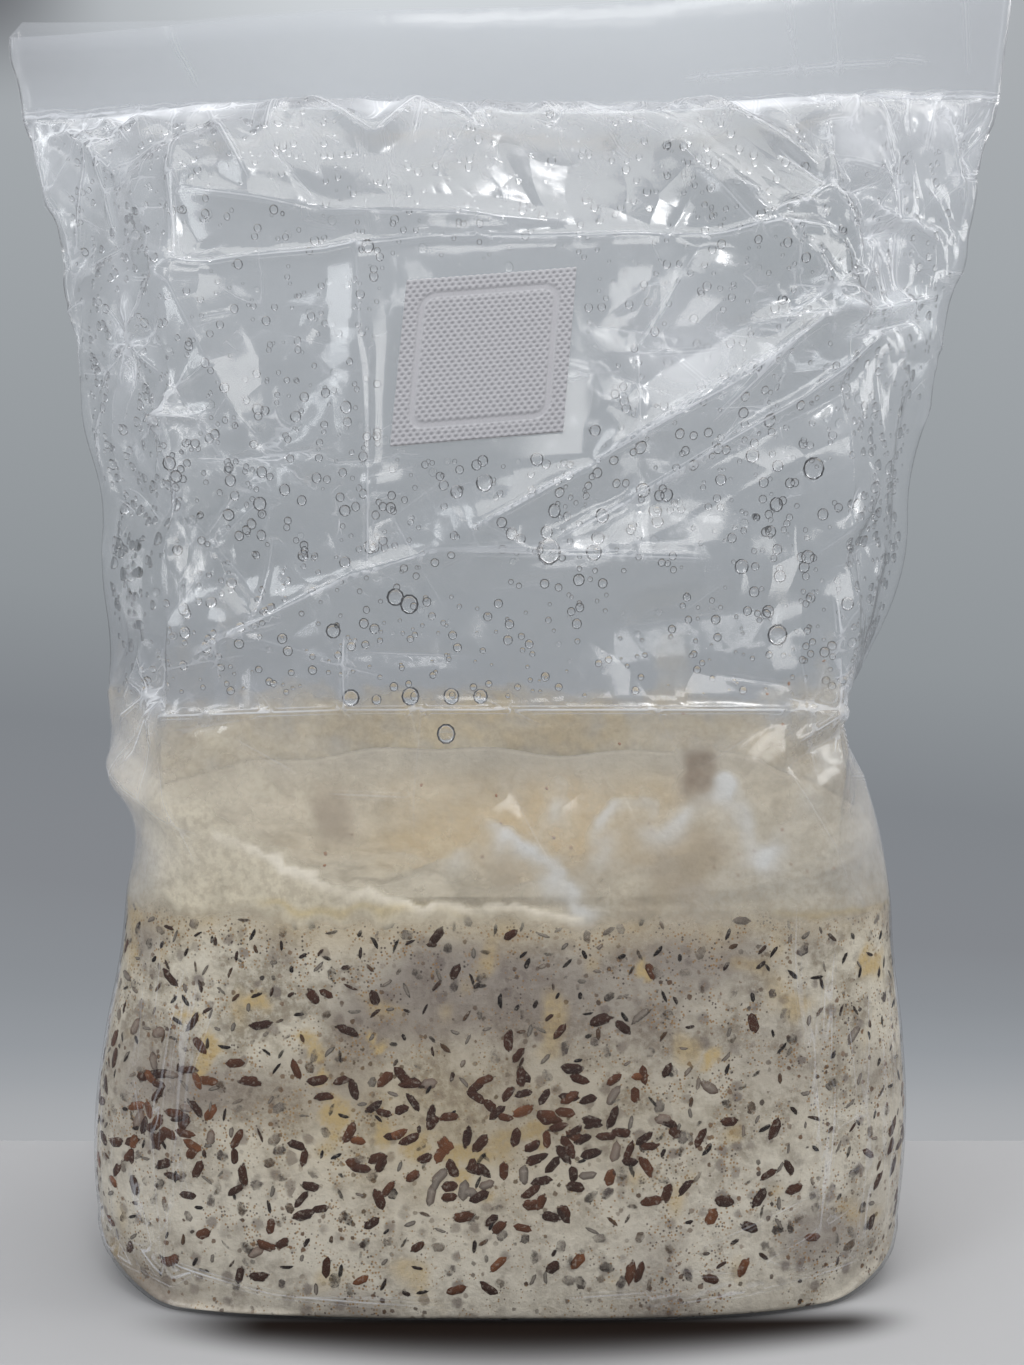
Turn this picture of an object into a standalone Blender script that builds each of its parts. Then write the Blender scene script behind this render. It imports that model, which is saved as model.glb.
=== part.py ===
"""A grain spawn bag: a clear gusseted film bag welded shut over a block of grown-through grain.

The film is one tube. Its front and back panels and the two halves of each side gusset keep their real
widths at every height, so the bag's depth follows from its width: flat at the mouth weld, six-sided
below it, and rounded where the block fills it. A point of the film is named by how far it lies round
the tube from the middle of the front panel (across) and by its height (up).
"""

import math

import bmesh
import bpy
import numpy as np
from mathutils import Matrix

# The film tube
FRONT_PANEL = 0.203
GUSSET_HALF = 0.0635
WALL = 0.0004
BAG_HEIGHT = 0.416
WELD_HEIGHT = 0.381
WELD_BAND = 0.004
WELD_THICKNESS = 0.0012
WELD_SLOPE = 0.014
MOUTH_GAP = 0.0024
FLAP_LEAN = 0.010

# The block and the way the film stands round it
BLOCK_WIDTH = 0.264
BLOCK_DEPTH = 0.106
BLOCK_HEIGHT = 0.118
BLOCK_BACK_HEIGHT = 0.158
CLIMB_FRONT = 0.004
BLOCK_MIDDLE_HEIGHT = 0.124
BLOCK_POWER = 3.4
BLOCK_LUMP = 0.0035
SHOULDER = 0.070
CLEARANCE = 0.0007
CLIMB_GAP = 0.0020

# The folded bottom
FRONT_ROUNDING = 0.008
SIDE_ROUNDING = 0.020
RIM_BAND = 0.005
BASE_RECESS = 0.0007
FIN_WIDTH = 0.010

# The gussets' bottom corners, tucked under: middle (across), half width, and how far the fold stands out
TUCKS = (
    (-0.108, 0.050, 0.0022),
    (0.128, 0.032, 0.0014),
)

# The filter patch
PATCH_SIDE = 0.0508
PATCH_THICKNESS = 0.0007
PATCH_ACROSS = -0.007
PATCH_HEIGHT = 0.281
PATCH_SLANT = 0.085
PATCH_GAP = 0.0004
RING_SIDE = 0.0420
RING_WIDTH = 0.0020
RING_DEPTH = 0.0003
VENT_RADIUS = 0.0015
VENT_PITCH = 0.009
VENTS_PER_SIDE = 3
VENT_LENGTH = 0.012

# How finely the film is drawn
FRONT_STEPS = (4, 3, 3)
GUSSET_STEPS = 5
WALL_STEP = 0.013

# Half the bag's width, left and right of the middle, at shares of the way up the block. It is given as
# a share of half the block's width.
BLOCK_OUTLINE = (
    (0.00, 0.965, 0.920),
    (0.18, 0.998, 0.950),
    (0.43, 1.003, 0.967),
    (0.62, 0.981, 0.959),
    (0.88, 0.940, 0.936),
    (1.00, 0.938, 0.938),
)
# The same at shares of the way from the block to the mouth weld. It is given as a share of what is
# left between half the block's width and half the flat tube's.
HEAD_OUTLINE = (
    (0.09, -0.210, -0.330),
    (0.13, 0.070, -0.440),
    (0.20, 0.075, -0.700),
    (0.28, 0.095, -0.400),
    (0.35, 0.125, -0.100),
    (0.51, 0.180, 0.125),
    (0.64, 0.420, 0.350),
    (0.77, 0.580, 0.575),
    (0.87, 0.690, 0.770),
    (0.94, 0.865, 0.860),
)
# The film's large folds: start and end as (across, up), half width, and rise out of the wall
FOLDS = (
    ((-0.092, 0.194), (-0.022, 0.223), 0.014, 0.0040),
    ((-0.022, 0.223), (0.058, 0.225), 0.013, 0.0030),
    ((-0.010, 0.229), (0.105, 0.297), 0.012, 0.0040),
    ((0.015, 0.226), (0.118, 0.280), 0.012, -0.0035),
    ((0.060, 0.345), (0.100, 0.300), 0.013, 0.0045),
    ((0.092, 0.362), (0.128, 0.318), 0.012, -0.0045),
    ((-0.126, 0.352), (-0.080, 0.262), 0.013, 0.0040),
    ((-0.120, 0.262), (-0.070, 0.205), 0.013, -0.0040),
    ((-0.046, 0.320), (-0.040, 0.235), 0.010, 0.0025),
    ((0.085, 0.160), (0.128, 0.186), 0.011, -0.0035),
    ((-0.150, 0.160), (-0.095, 0.140), 0.010, 0.0030),
    ((0.225, 0.340), (0.300, 0.250), 0.016, 0.0045),
    ((-0.290, 0.330), (-0.230, 0.230), 0.016, -0.0045),
    ((-0.330, 0.270), (-0.250, 0.215), 0.014, 0.0040),
    ((0.210, 0.215), (0.290, 0.205), 0.014, 0.0040),
)

FLAT_HALF = FRONT_PANEL / 2 + GUSSET_HALF
ROUND_HALF = 2 * FLAT_HALF
WELD_BOTTOM = WELD_HEIGHT - WELD_BAND


def clear_scene():
    for thing in list(bpy.data.objects):
        bpy.data.objects.remove(thing, do_unlink=True)


def material(name, colour, roughness, alpha=1.0):
    made = bpy.data.materials.new(name)
    made.use_nodes = True
    shader = made.node_tree.nodes["Principled BSDF"]
    shader.inputs["Base Color"].default_value = (*colour, 1.0)
    shader.inputs["Roughness"].default_value = roughness
    shader.inputs["Alpha"].default_value = alpha
    return made


def add_object(name, mesh, look, smooth=40):
    bpy_mesh = bpy.data.meshes.new(name)
    mesh.to_mesh(bpy_mesh)
    mesh.free()
    bpy_mesh.shade_smooth()
    bpy_mesh.set_sharp_from_angle(angle=math.radians(smooth))
    if look:
        bpy_mesh.materials.append(look)
    made = bpy.data.objects.new(name, bpy_mesh)
    bpy.context.scene.collection.objects.link(made)
    return made


def add_helper(name, mesh):
    """A shape that only cuts or joins another, left out of the render."""
    helper = add_object(name, mesh, None)
    helper.hide_render = True
    helper.display_type = "WIRE"
    return helper


def add_boolean(target, helper, operation):
    modifier = target.modifiers.new(helper.name, "BOOLEAN")
    modifier.operation = operation
    modifier.solver = "EXACT"
    modifier.object = helper


def smooth_share(value, low, high):
    """0 below low, 1 above high, and an easy curve between them."""
    share = np.clip((value - low) / (high - low), 0.0, 1.0)
    return share * share * (3 - 2 * share)


def curve_through(knots, values, at):
    """A cubic curve through the values at the knots."""
    knots, values = np.array(knots), np.array(values)
    slopes = np.gradient(values, knots)
    at = np.clip(at, knots[0], knots[-1])
    i = np.clip(np.searchsorted(knots, at) - 1, 0, len(knots) - 2)
    gap = knots[i + 1] - knots[i]
    t = (at - knots[i]) / gap
    start, end = values[i], values[i + 1]
    return (
        start * (2 * t**3 - 3 * t**2 + 1)
        + end * (3 * t**2 - 2 * t**3)
        + slopes[i] * gap * (t**3 - 2 * t**2 + t)
        + slopes[i + 1] * gap * (t**3 - t**2)
    )


def outline_knots():
    """Heights, and half the bag's width to the left and right there."""
    half = BLOCK_WIDTH / 2
    spare = FLAT_HALF - half
    head = WELD_BOTTOM - BLOCK_HEIGHT
    low = [(share * BLOCK_HEIGHT, left * half, right * half) for share, left, right in BLOCK_OUTLINE]
    high = [
        (BLOCK_HEIGHT + share * head, half + left * spare, half + right * spare)
        for share, left, right in HEAD_OUTLINE
    ]
    return np.array(low + high + [(WELD_BOTTOM, FLAT_HALF, FLAT_HALF)])


def half_widths(up):
    knots = outline_knots()
    flat = up >= WELD_BOTTOM
    left = np.where(flat, FLAT_HALF, curve_through(knots[:, 0], knots[:, 1], up))
    right = np.where(flat, FLAT_HALF, curve_through(knots[:, 0], knots[:, 2], up))
    return np.minimum(left, FLAT_HALF), np.minimum(right, FLAT_HALF)


def gusset_depth(half_width, up):
    """How far the panel creases stand off the middle plane when the gusset is opened to half_width."""
    reach = half_width - FRONT_PANEL / 2
    depth = np.sqrt(np.maximum(GUSSET_HALF**2 - reach**2, 0.0))
    limit = BLOCK_DEPTH / 2
    depth = depth * limit / (depth**4 + limit**4) ** 0.25
    flap = WELD_THICKNESS / 2 + (MOUTH_GAP / 2 + WALL - WELD_THICKNESS / 2) * smooth_share(
        up, WELD_HEIGHT, BAG_HEIGHT
    )
    return np.maximum(depth, flap)


def creased(across, up, inset):
    """The six-sided section of the open gusseted tube."""
    left, right = half_widths(up)
    half = np.where(across < 0, left, right)
    depth = gusset_depth(half, up)
    other = gusset_depth(np.where(across < 0, right, left), up)
    away = np.abs(across)
    face = np.where(away <= FLAT_HALF, -1.0, 1.0)
    away = np.where(away <= FLAT_HALF, away, 2 * FLAT_HALF - away)
    crease = FRONT_PANEL / 2
    share = np.clip((away - crease) / GUSSET_HALF, 0.0, 1.0)
    point = inset * GUSSET_HALF / np.maximum(depth, GUSSET_HALF / 8)
    x = np.minimum(away, crease) + share * (half - point - crease)
    panel = (depth + (other - depth) * 0.5 * (1 - np.minimum(away, crease) / crease)) - inset
    y = face * panel * (1 - share)
    return np.sign(across) * x, y


def rounded(across, up, inset):
    """The section of the tube where the block fills it."""
    left, right = half_widths(up)
    angle = np.linspace(0.0, math.pi, 721)
    x = BLOCK_WIDTH / 2 * np.abs(np.sin(angle)) ** (2 / BLOCK_POWER)
    y = BLOCK_DEPTH / 2 * np.sign(np.cos(angle)) * np.abs(np.cos(angle)) ** (2 / BLOCK_POWER)
    length = np.concatenate([[0.0], np.cumsum(np.hypot(np.diff(x), np.diff(y)))])
    turn = np.interp(np.abs(across) / ROUND_HALF, length / length[-1], angle)
    half = np.where(across < 0, left, right) - inset
    deep = BLOCK_DEPTH / 2 - inset
    x = np.sign(across) * half * np.abs(np.sin(turn)) ** (2 / BLOCK_POWER)
    y = -deep * np.sign(np.cos(turn)) * np.abs(np.cos(turn)) ** (2 / BLOCK_POWER)
    return x, y


def wall_section(across, up, inset):
    share = smooth_share(up, BLOCK_HEIGHT * 0.8, BLOCK_HEIGHT + SHOULDER)
    round_x, round_y = rounded(across, up, inset)
    flat_x, flat_y = creased(across, up, inset)
    return np.stack(
        [round_x + share * (flat_x - round_x), round_y + share * (flat_y - round_y), up + 0 * round_x],
        axis=-1,
    )


def flat_reach():
    """How far the film stays flat round the middle of the stiff patch."""
    return PATCH_SIDE / 2 * (1 + PATCH_SLANT) + 0.001


def fold_rise(across, up):
    """How far the film's folds stand out of the wall."""
    rise = 0.0012 * np.sin(across * 71 + up * 48) * np.sin(across * 37 - up * 90)
    for start, end, width, height in FOLDS:
        run = np.subtract(end, start)
        along = ((across - start[0]) * run[0] + (up - start[1]) * run[1]) / run.dot(run)
        near = np.clip(along, 0.0, 1.0)
        gap = np.hypot(across - start[0] - near * run[0], up - start[1] - near * run[1])
        rise = rise + height * np.clip(1 - gap / width, 0.0, 1.0)
    patch = np.maximum(np.abs(across - PATCH_ACROSS), np.abs(up - PATCH_HEIGHT))
    rise = rise * smooth_share(patch, flat_reach(), flat_reach() + 0.016)
    rise = rise * smooth_share(up, BLOCK_HEIGHT, BLOCK_HEIGHT + 0.03)
    return rise * (1 - smooth_share(up, WELD_BOTTOM - 0.045, WELD_BOTTOM - 0.012))


def film_point(across, up, inset=0.0):
    """A point of the film, inset from its outer face. Arrays in, an array of points out."""
    step = 0.0005
    across, up = np.broadcast_arrays(np.asarray(across, float), np.asarray(up, float))
    round_way = wall_section(across + step, up, 0.0) - wall_section(across - step, up, 0.0)
    up_way = wall_section(across, up + step, 0.0) - wall_section(across, up - step, 0.0)
    normal = np.cross(round_way, up_way)
    normal = normal / np.maximum(np.linalg.norm(normal, axis=-1, keepdims=True), 1e-12)
    point = wall_section(across, up, inset) + fold_rise(across, up)[..., None] * normal
    high = smooth_share(up, WELD_HEIGHT - 0.12, WELD_HEIGHT)
    point[..., 2] += WELD_SLOPE * point[..., 0] * high
    point[..., 1] += high * 0.0025 * np.sin(point[..., 0] * 31 + 0.6)
    point[..., 1] -= FLAP_LEAN * smooth_share(up, WELD_HEIGHT - 0.01, BAG_HEIGHT)
    return point


def ways_round():
    """The film's across values, once round from the back's middle, with every crease on one."""
    crease = FRONT_PANEL / 2
    stops = (-crease, PATCH_ACROSS - flat_reach(), PATCH_ACROSS + flat_reach(), crease)
    thirds = [np.linspace(a, b, n + 1)[1:] for a, b, n in zip(stops, stops[1:], FRONT_STEPS)]
    front = np.concatenate([[-crease], *thirds])
    side = np.linspace(crease, FLAT_HALF, GUSSET_STEPS + 1)[1:]
    behind = 2 * FLAT_HALF - side[::-1][1:]
    back = np.linspace(2 * FLAT_HALF - crease, ROUND_HALF, sum(FRONT_STEPS) // 2 + 1)
    right = np.concatenate([side, behind, back])
    return np.concatenate([-right[::-1][1:], front, right])


def rounding(across):
    """The radius of the bag's bottom edge, larger at its sides than at its front."""
    side = np.abs(rounded(across, np.full_like(across, 0.5 * BLOCK_HEIGHT), 0.0)[0]) / (BLOCK_WIDTH / 2)
    return FRONT_ROUNDING + (SIDE_ROUNDING - FRONT_ROUNDING) * smooth_share(side, 0.75, 1.0)


def tuck_rise(across, angle):
    """How far the tucked corners stand out of the bottom edge: out a third of the way round its turn,
    in where it meets the base."""
    rise = 0 * across
    for middle, reach, height in TUCKS:
        rise = rise + height * np.clip(1 - np.abs(across - middle) / reach, 0.0, 1.0)
    return rise * math.sin(3 * angle)


def edge_ring(across, angle, inset):
    """A ring of the bottom edge: angle 0 is where the wall begins, a quarter turn is the base."""
    radius = rounding(across)
    wall = film_point(across, radius, inset)
    half = np.array([BLOCK_WIDTH / 2, BLOCK_DEPTH / 2])
    inward = -np.sign(wall[..., :2]) * np.abs(wall[..., :2] / half) ** (BLOCK_POWER - 1) / half
    inward = inward / np.linalg.norm(inward, axis=-1, keepdims=True)
    bend = radius - inset
    wall[..., :2] += inward * (bend * (1 - math.cos(angle)) - tuck_rise(across, angle))[..., None]
    wall[..., 2] = radius - bend * math.sin(angle)
    return wall


def base_rings(across, inset):
    """Rings of the base from its middle out to the rim that it stands on, then round the bottom edge."""
    rim = edge_ring(across, math.pi / 2, inset)
    half = np.array([BLOCK_WIDTH / 2, BLOCK_DEPTH / 2])
    rings = []
    for band, height in ((3.4 * RIM_BAND, BASE_RECESS), (1.6 * RIM_BAND, BASE_RECESS), (RIM_BAND, 0.0)):
        ring = rim.copy()
        ring[..., :2] *= 1 - band / half
        ring[..., 2] = height + inset
        rings.append(ring)
    turns = np.radians([90, 60, 30])
    return rings + [edge_ring(across, angle, inset) for angle in turns]


def wall_levels():
    """Heights of the film's rings between the bottom edge and the mouth weld, closer near the weld."""
    low = np.linspace(SIDE_ROUNDING, BLOCK_HEIGHT, 8)
    stops = (BLOCK_HEIGHT, PATCH_HEIGHT - flat_reach(), PATCH_HEIGHT + flat_reach(), WELD_BOTTOM - 0.03)
    high = [
        np.linspace(a, b, 1 + max(1, round((b - a) / WALL_STEP)))[1:] for a, b in zip(stops, stops[1:])
    ]
    top = WELD_BOTTOM - np.array([0.020, 0.012, 0.006, 0.002])
    return np.concatenate([low, *high, top])


def wall_rings(across, levels, inset):
    """Rings of the wall. The lowest follows the bottom edge, which is higher at the sides."""
    low = rounding(across)
    share = (levels - SIDE_ROUNDING) / (BLOCK_HEIGHT - SIDE_ROUNDING)
    heights = [np.where(s < 1, low + s * (BLOCK_HEIGHT - low), z) for s, z in zip(share, levels)]
    return [film_point(across, height, inset) for height in heights]


def loft(mesh, rings):
    """Faces from ring to ring, all of one length, and the rings' vertices."""
    loops = [[mesh.verts.new(point) for point in ring] for ring in rings]
    for low, high in zip(loops, loops[1:]):
        for i in range(len(low)):
            j = (i + 1) % len(low)
            mesh.faces.new((low[i], low[j], high[j], high[i]))
    return loops


def close_across(mesh, loop, across, facing):
    """Closes a ring with strips from its front half to its back half. facing is 1 up, -1 down."""
    count = len(loop)
    crease = int(np.argmin(np.abs(across + FLAT_HALF)))
    for i in range(count // 2):
        front = [loop[(crease + i) % count], loop[(crease + i + 1) % count]]
        back = [loop[(crease - i - 1) % count], loop[(crease - i) % count]]
        corners = list(dict.fromkeys(front + back))
        mesh.faces.new(corners if facing > 0 else corners[::-1])


def shell(mesh, rings, across):
    """A closed surface through the rings, which run from its lowest cap to its last."""
    loops = loft(mesh, rings)
    close_across(mesh, loops[0], across, -1)
    close_across(mesh, loops[-1], across, 1)
    return mesh


def build_film_bag(look):
    across = ways_round()
    levels = wall_levels()
    flap = np.linspace(WELD_HEIGHT, BAG_HEIGHT, 4)
    outer = base_rings(across, 0.0) + wall_rings(across, levels, 0.0)
    outer += [film_point(across, up) for up in (WELD_BOTTOM, *flap)]
    slot = [film_point(across, up, WALL) for up in (*flap[:0:-1], WELD_HEIGHT + 0.001)]
    mesh = shell(bmesh.new(), outer + slot, across)
    outside = set(mesh.faces)
    shell(mesh, base_rings(across, WALL) + wall_rings(across, levels, WALL), across)
    bmesh.ops.reverse_faces(mesh, faces=[face for face in mesh.faces if face not in outside])
    bag = add_object("film_bag", mesh, look)
    add_boolean(bag, build_bottom_fin(), "UNION")
    add_boolean(bag, build_vents(), "DIFFERENCE")
    return bag


def build_bottom_fin():
    """The tube's bottom weld, as long as the front panel, folded flat under the base."""
    mesh = bmesh.new()
    bmesh.ops.create_cube(mesh, size=1.0)
    height = BASE_RECESS + WALL / 2
    bmesh.ops.scale(mesh, vec=(FRONT_PANEL, FIN_WIDTH, height), verts=mesh.verts)
    bmesh.ops.translate(mesh, vec=(0, 0, height / 2), verts=mesh.verts)
    return add_helper("bottom_fin", mesh)


def build_vents():
    """Cutters for the perforations behind the filter patch."""
    mesh = bmesh.new()
    places = (np.arange(VENTS_PER_SIDE) - (VENTS_PER_SIDE - 1) / 2) * VENT_PITCH
    turned = Matrix.Rotation(math.radians(90), 4, "X")
    for side in places:
        for rise in places:
            middle = film_point(PATCH_ACROSS + side, PATCH_HEIGHT + rise, WALL / 2)
            bmesh.ops.create_cone(
                mesh,
                cap_ends=True,
                segments=8,
                radius1=VENT_RADIUS,
                radius2=VENT_RADIUS,
                depth=VENT_LENGTH,
                matrix=Matrix.Translation(middle) @ turned,
            )
    return add_helper("vent_cutters", mesh)


def build_filter_patch(look):
    """A nonwoven square that follows the film, with the groove of its weld ring."""
    ring = RING_SIDE / 2
    slope = 0.2 * RING_WIDTH
    lines = (0.5 * ring, ring - RING_WIDTH - slope, ring - RING_WIDTH, ring, ring + slope, PATCH_SIDE / 2)
    lines = np.array([-x for x in lines[::-1]] + [0.0] + list(lines))
    wide, tall = np.meshgrid(lines, lines)
    across = PATCH_ACROSS + wide + PATCH_SLANT * tall
    up = PATCH_HEIGHT + tall + PATCH_SLANT * wide
    reach = np.maximum(np.abs(wide), np.abs(tall))
    pressed = (reach > ring - RING_WIDTH - slope / 2) & (reach < ring + slope / 2)
    front = film_point(across, up, -PATCH_GAP - PATCH_THICKNESS + RING_DEPTH * pressed)
    back = film_point(across, up, -PATCH_GAP + 0 * up)
    mesh = bmesh.new()
    count = len(lines)
    faces = [[[mesh.verts.new(point) for point in row] for row in face] for face in (front, back)]
    for i in range(count - 1):
        for j in range(count - 1):
            a, b = faces[0], faces[1]
            mesh.faces.new((a[i][j], a[i][j + 1], a[i + 1][j + 1], a[i + 1][j]))
            mesh.faces.new((b[i][j], b[i + 1][j], b[i + 1][j + 1], b[i][j + 1]))
    edge = [(0, j) for j in range(count)] + [(i, count - 1) for i in range(1, count)]
    edge += [(count - 1, j) for j in range(count - 2, -1, -1)] + [(i, 0) for i in range(count - 2, 0, -1)]
    for (i, j), (k, m) in zip(edge, edge[1:] + edge[:1]):
        mesh.faces.new((faces[0][i][j], faces[1][i][j], faces[1][k][m], faces[0][k][m]))
    return add_object("filter_patch", mesh, look)


def block_rim(across):
    """How high the mycelium has climbed the film, lowest at the front."""
    behind = smooth_share(np.abs(across) / ROUND_HALF, 0.10, 0.85)
    wavy = BLOCK_LUMP * (np.sin(across * 57) + 0.6 * np.sin(across * 133 + 1.0))
    climb = CLIMB_FRONT + (BLOCK_BACK_HEIGHT - BLOCK_HEIGHT - CLIMB_FRONT) * behind
    return BLOCK_HEIGHT + climb + wavy * behind


def block_top(rim, share):
    """A ring of the block's lumpy top, at a share of the way out from its middle."""
    ring = rim.copy()
    ring[..., :2] *= share
    x, y = ring[..., 0], ring[..., 1]
    lumps = np.sin(x * 88 + 0.4) * np.sin(y * 105 + 1.3) + 0.6 * np.sin(x * 171 - y * 96 + 2.0)
    ring[..., 2] = BLOCK_MIDDLE_HEIGHT + (rim[..., 2] - BLOCK_MIDDLE_HEIGHT) * share**3
    ring[..., 2] += BLOCK_LUMP * lumps * (1 - share**6)
    return ring


def build_grain_block(look):
    across = ways_round()
    inset = WALL + CLEARANCE
    levels = wall_levels()
    sides = wall_rings(across, levels[levels <= BLOCK_HEIGHT], inset)
    climb = block_rim(across) - BLOCK_HEIGHT
    for share in (0.15, 0.4, 0.7, 1.0):
        sides.append(film_point(across, BLOCK_HEIGHT + share * climb, inset + CLIMB_GAP))
    tops = [block_top(sides[-1], share) for share in (0.97, 0.88, 0.72, 0.54, 0.36, 0.18)]
    mesh = shell(bmesh.new(), base_rings(across, inset) + sides + tops, across)
    return add_object("grain_block", mesh, look, smooth=60)


clear_scene()
build_film_bag(material("clear_film", (0.86, 0.88, 0.90), 0.12, alpha=0.3))
build_filter_patch(material("filter_nonwoven", (0.80, 0.80, 0.82), 0.75))
build_grain_block(material("grain_and_mycelium", (0.62, 0.55, 0.45), 0.8))
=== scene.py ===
"""The look of a sealed grain spawn bag: clear gusseted film over a block of grain that mycelium has
grown through, with a filter patch in the film and drops of condensation inside it.

The film is one tube. A point of it is named by how far it lies round the tube from the middle of the
front panel (across) and by its height (up), and everything inside the bag is placed by the same two.
"""

import math

import bpy
import numpy as np
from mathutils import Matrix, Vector


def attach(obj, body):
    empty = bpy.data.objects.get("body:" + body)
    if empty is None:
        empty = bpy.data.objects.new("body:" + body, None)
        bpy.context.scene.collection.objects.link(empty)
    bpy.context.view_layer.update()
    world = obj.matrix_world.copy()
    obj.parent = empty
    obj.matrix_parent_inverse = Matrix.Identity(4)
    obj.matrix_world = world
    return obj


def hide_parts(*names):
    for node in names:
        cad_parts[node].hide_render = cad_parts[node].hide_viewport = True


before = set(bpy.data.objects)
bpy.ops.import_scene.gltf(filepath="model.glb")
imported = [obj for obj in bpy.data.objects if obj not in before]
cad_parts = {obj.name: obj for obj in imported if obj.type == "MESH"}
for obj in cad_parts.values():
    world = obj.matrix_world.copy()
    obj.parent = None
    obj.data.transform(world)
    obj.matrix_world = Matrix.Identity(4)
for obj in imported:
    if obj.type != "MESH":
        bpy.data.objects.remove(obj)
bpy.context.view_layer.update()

# The table and what is behind it: one sheet of pale card, flat under the bag and swept up close behind
# it. Where it rises it is a painted glow, not lit: its painted grey falls off as light on it would, with a
# painted pool of lamp light high in the middle and a painted dim corner at the top left, also in what
# the film and the drops show of it. Where it is flat it is lit, and a painted shadow darkens it under
# the bag's front edge, where little light reaches it. It is open from behind, and a table lies under it.
CARD_START = -2.4
CARD_BEND = 0.057
CARD_SWEEP = 0.30
CARD_TOP = 2.6
CARD_HALF = 2.3
TABLE_DROP = 0.0005
CARD_GREYS = (
    (0.000, (171, 173, 176)),
    (0.003, (162, 165, 169)),
    (0.010, (150, 154, 159)),
    (0.024, (139, 143, 148)),
    (0.050, (132, 135, 140)),
    (0.130, (129, 133, 138)),
    (0.220, (144, 149, 153)),
    (0.320, (151, 156, 160)),
    (0.500, (162, 167, 171)),
    (0.650, (170, 174, 178)),
    (1.400, (196, 199, 202)),
)


def shade(red, green, blue):
    """A colour as a screen shows it, 0 to 255, turned into the linear one that a shader takes."""
    seen = np.array([red, green, blue]) / 255
    linear = np.where(seen <= 0.04045, seen / 12.92, ((seen + 0.055) / 1.055) ** 2.4)
    return (*linear.tolist(), 1.0)


def grid_faces(rows, columns, wrapped=False, start=0):
    """Quads between neighbouring points of a grid that is counted row by row, wrapped round if asked."""
    i, j = np.meshgrid(np.arange(rows - 1), np.arange(columns - (not wrapped)), indexing="ij")
    k = (j + 1) % columns
    corners = [i * columns + j, i * columns + k, (i + 1) * columns + k, (i + 1) * columns + j]
    return start + np.stack(corners, axis=-1).reshape(-1, 4)


def make_piece(name, points, faces, look, **attributes):
    """A smooth mesh from an array of points, a list of face arrays, and one value or colour a point."""
    points = np.asarray(points, dtype=np.float32).reshape(-1, 3)
    corners = np.concatenate([np.asarray(some).ravel() for some in faces]).astype(np.int32)
    widths = np.concatenate([np.full(len(some), np.shape(some)[1]) for some in faces])
    mesh = bpy.data.meshes.new(name)
    mesh.vertices.add(len(points))
    mesh.vertices.foreach_set("co", points.ravel())
    mesh.loops.add(len(corners))
    mesh.loops.foreach_set("vertex_index", corners)
    mesh.polygons.add(len(widths))
    mesh.polygons.foreach_set("loop_start", (np.cumsum(widths) - widths).astype(np.int32))
    mesh.update(calc_edges=True)
    for label, values in attributes.items():
        values = np.asarray(values, dtype=np.float32)
        kind, field = ("FLOAT", "value") if values.size == len(points) else ("FLOAT_COLOR", "color")
        made = mesh.attributes.new(label, kind, "POINT")
        made.data.foreach_set(field, values.ravel())
    mesh.shade_smooth()
    mesh.materials.append(look.material)
    piece = bpy.data.objects.new(name, mesh)
    bpy.context.scene.collection.objects.link(piece)
    return piece


class Look:
    """A material that is built up node by node. Each method returns a node's outputs, or its one output."""

    def __init__(self, name):
        self.material = bpy.data.materials.new(name)
        self.material.use_nodes = True
        self.material.node_tree.nodes.clear()
        self.end = self.material.node_tree.nodes.new("ShaderNodeOutputMaterial")

    def node(self, kind, inputs=(), **settings):
        """A node with its settings, and its sockets set to values or joined to other nodes' sockets."""
        made = self.material.node_tree.nodes.new("ShaderNode" + kind)
        for label, value in settings.items():
            setattr(made, label, value)
        for socket, value in dict(inputs).items():
            if isinstance(value, bpy.types.NodeSocket):
                self.material.node_tree.links.new(value, made.inputs[socket])
            else:
                made.inputs[socket].default_value = value
        return made.outputs

    def place(self):
        """The place on the object, in its own metres."""
        return self.node("TexCoord")["Object"]

    def mark(self, label):
        """One of the piece's own values, as its points carry them."""
        return self.node("Attribute", attribute_name=label)["Fac"]

    def noise(self, place, scale, detail, roughness=0.5):
        """A soft random field."""
        inputs = {"Vector": place, "Scale": scale, "Detail": detail, "Roughness": roughness}
        return self.node("TexNoise", inputs)[0]

    def maths(self, operation, *values, clamp=False):
        """A Math node's result."""
        return self.node("Math", dict(enumerate(values)), operation=operation, use_clamp=clamp)[0]

    def times(self, *values, clamp=False):
        """The product of two values."""
        return self.maths("MULTIPLY", *values, clamp=clamp)

    def vectors(self, operation, *values):
        """A Vector Math node's result."""
        return self.node("VectorMath", dict(enumerate(values)), operation=operation)[0]

    def spread(self, value, low, high, to_low=0.0, to_high=1.0):
        """The value carried from low..high to to_low..to_high along an easy curve, and held outside it."""
        inputs = {0: value, 1: low, 2: high, 3: to_low, 4: to_high}
        return self.node("MapRange", inputs, interpolation_type="SMOOTHSTEP")[0]

    def blend(self, share, first, second):
        """The first colour where share is 0 and the second where it is 1."""
        return self.node("Mix", {0: share, 6: first, 7: second}, data_type="RGBA")[2]

    def mix(self, share, first, second):
        """The first shader where share is 0 and the second where it is 1."""
        return self.node("MixShader", {0: share, 1: first, 2: second})[0]

    def finish(self, surface):
        """Joins the last shader to the material's output."""
        self.material.node_tree.links.new(surface, self.end.inputs["Surface"])


CARD_TONE = shade(184, 184, 185)
SHADOW_TONE = shade(34, 28, 25)
WHITE = (1.0, 1.0, 1.0, 1.0)
FOOT_HALF = {"X": 0.130, "Y": 0.0525}
FOOT_POWER = 3.4
SHADOW_REACH = 0.024

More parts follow.
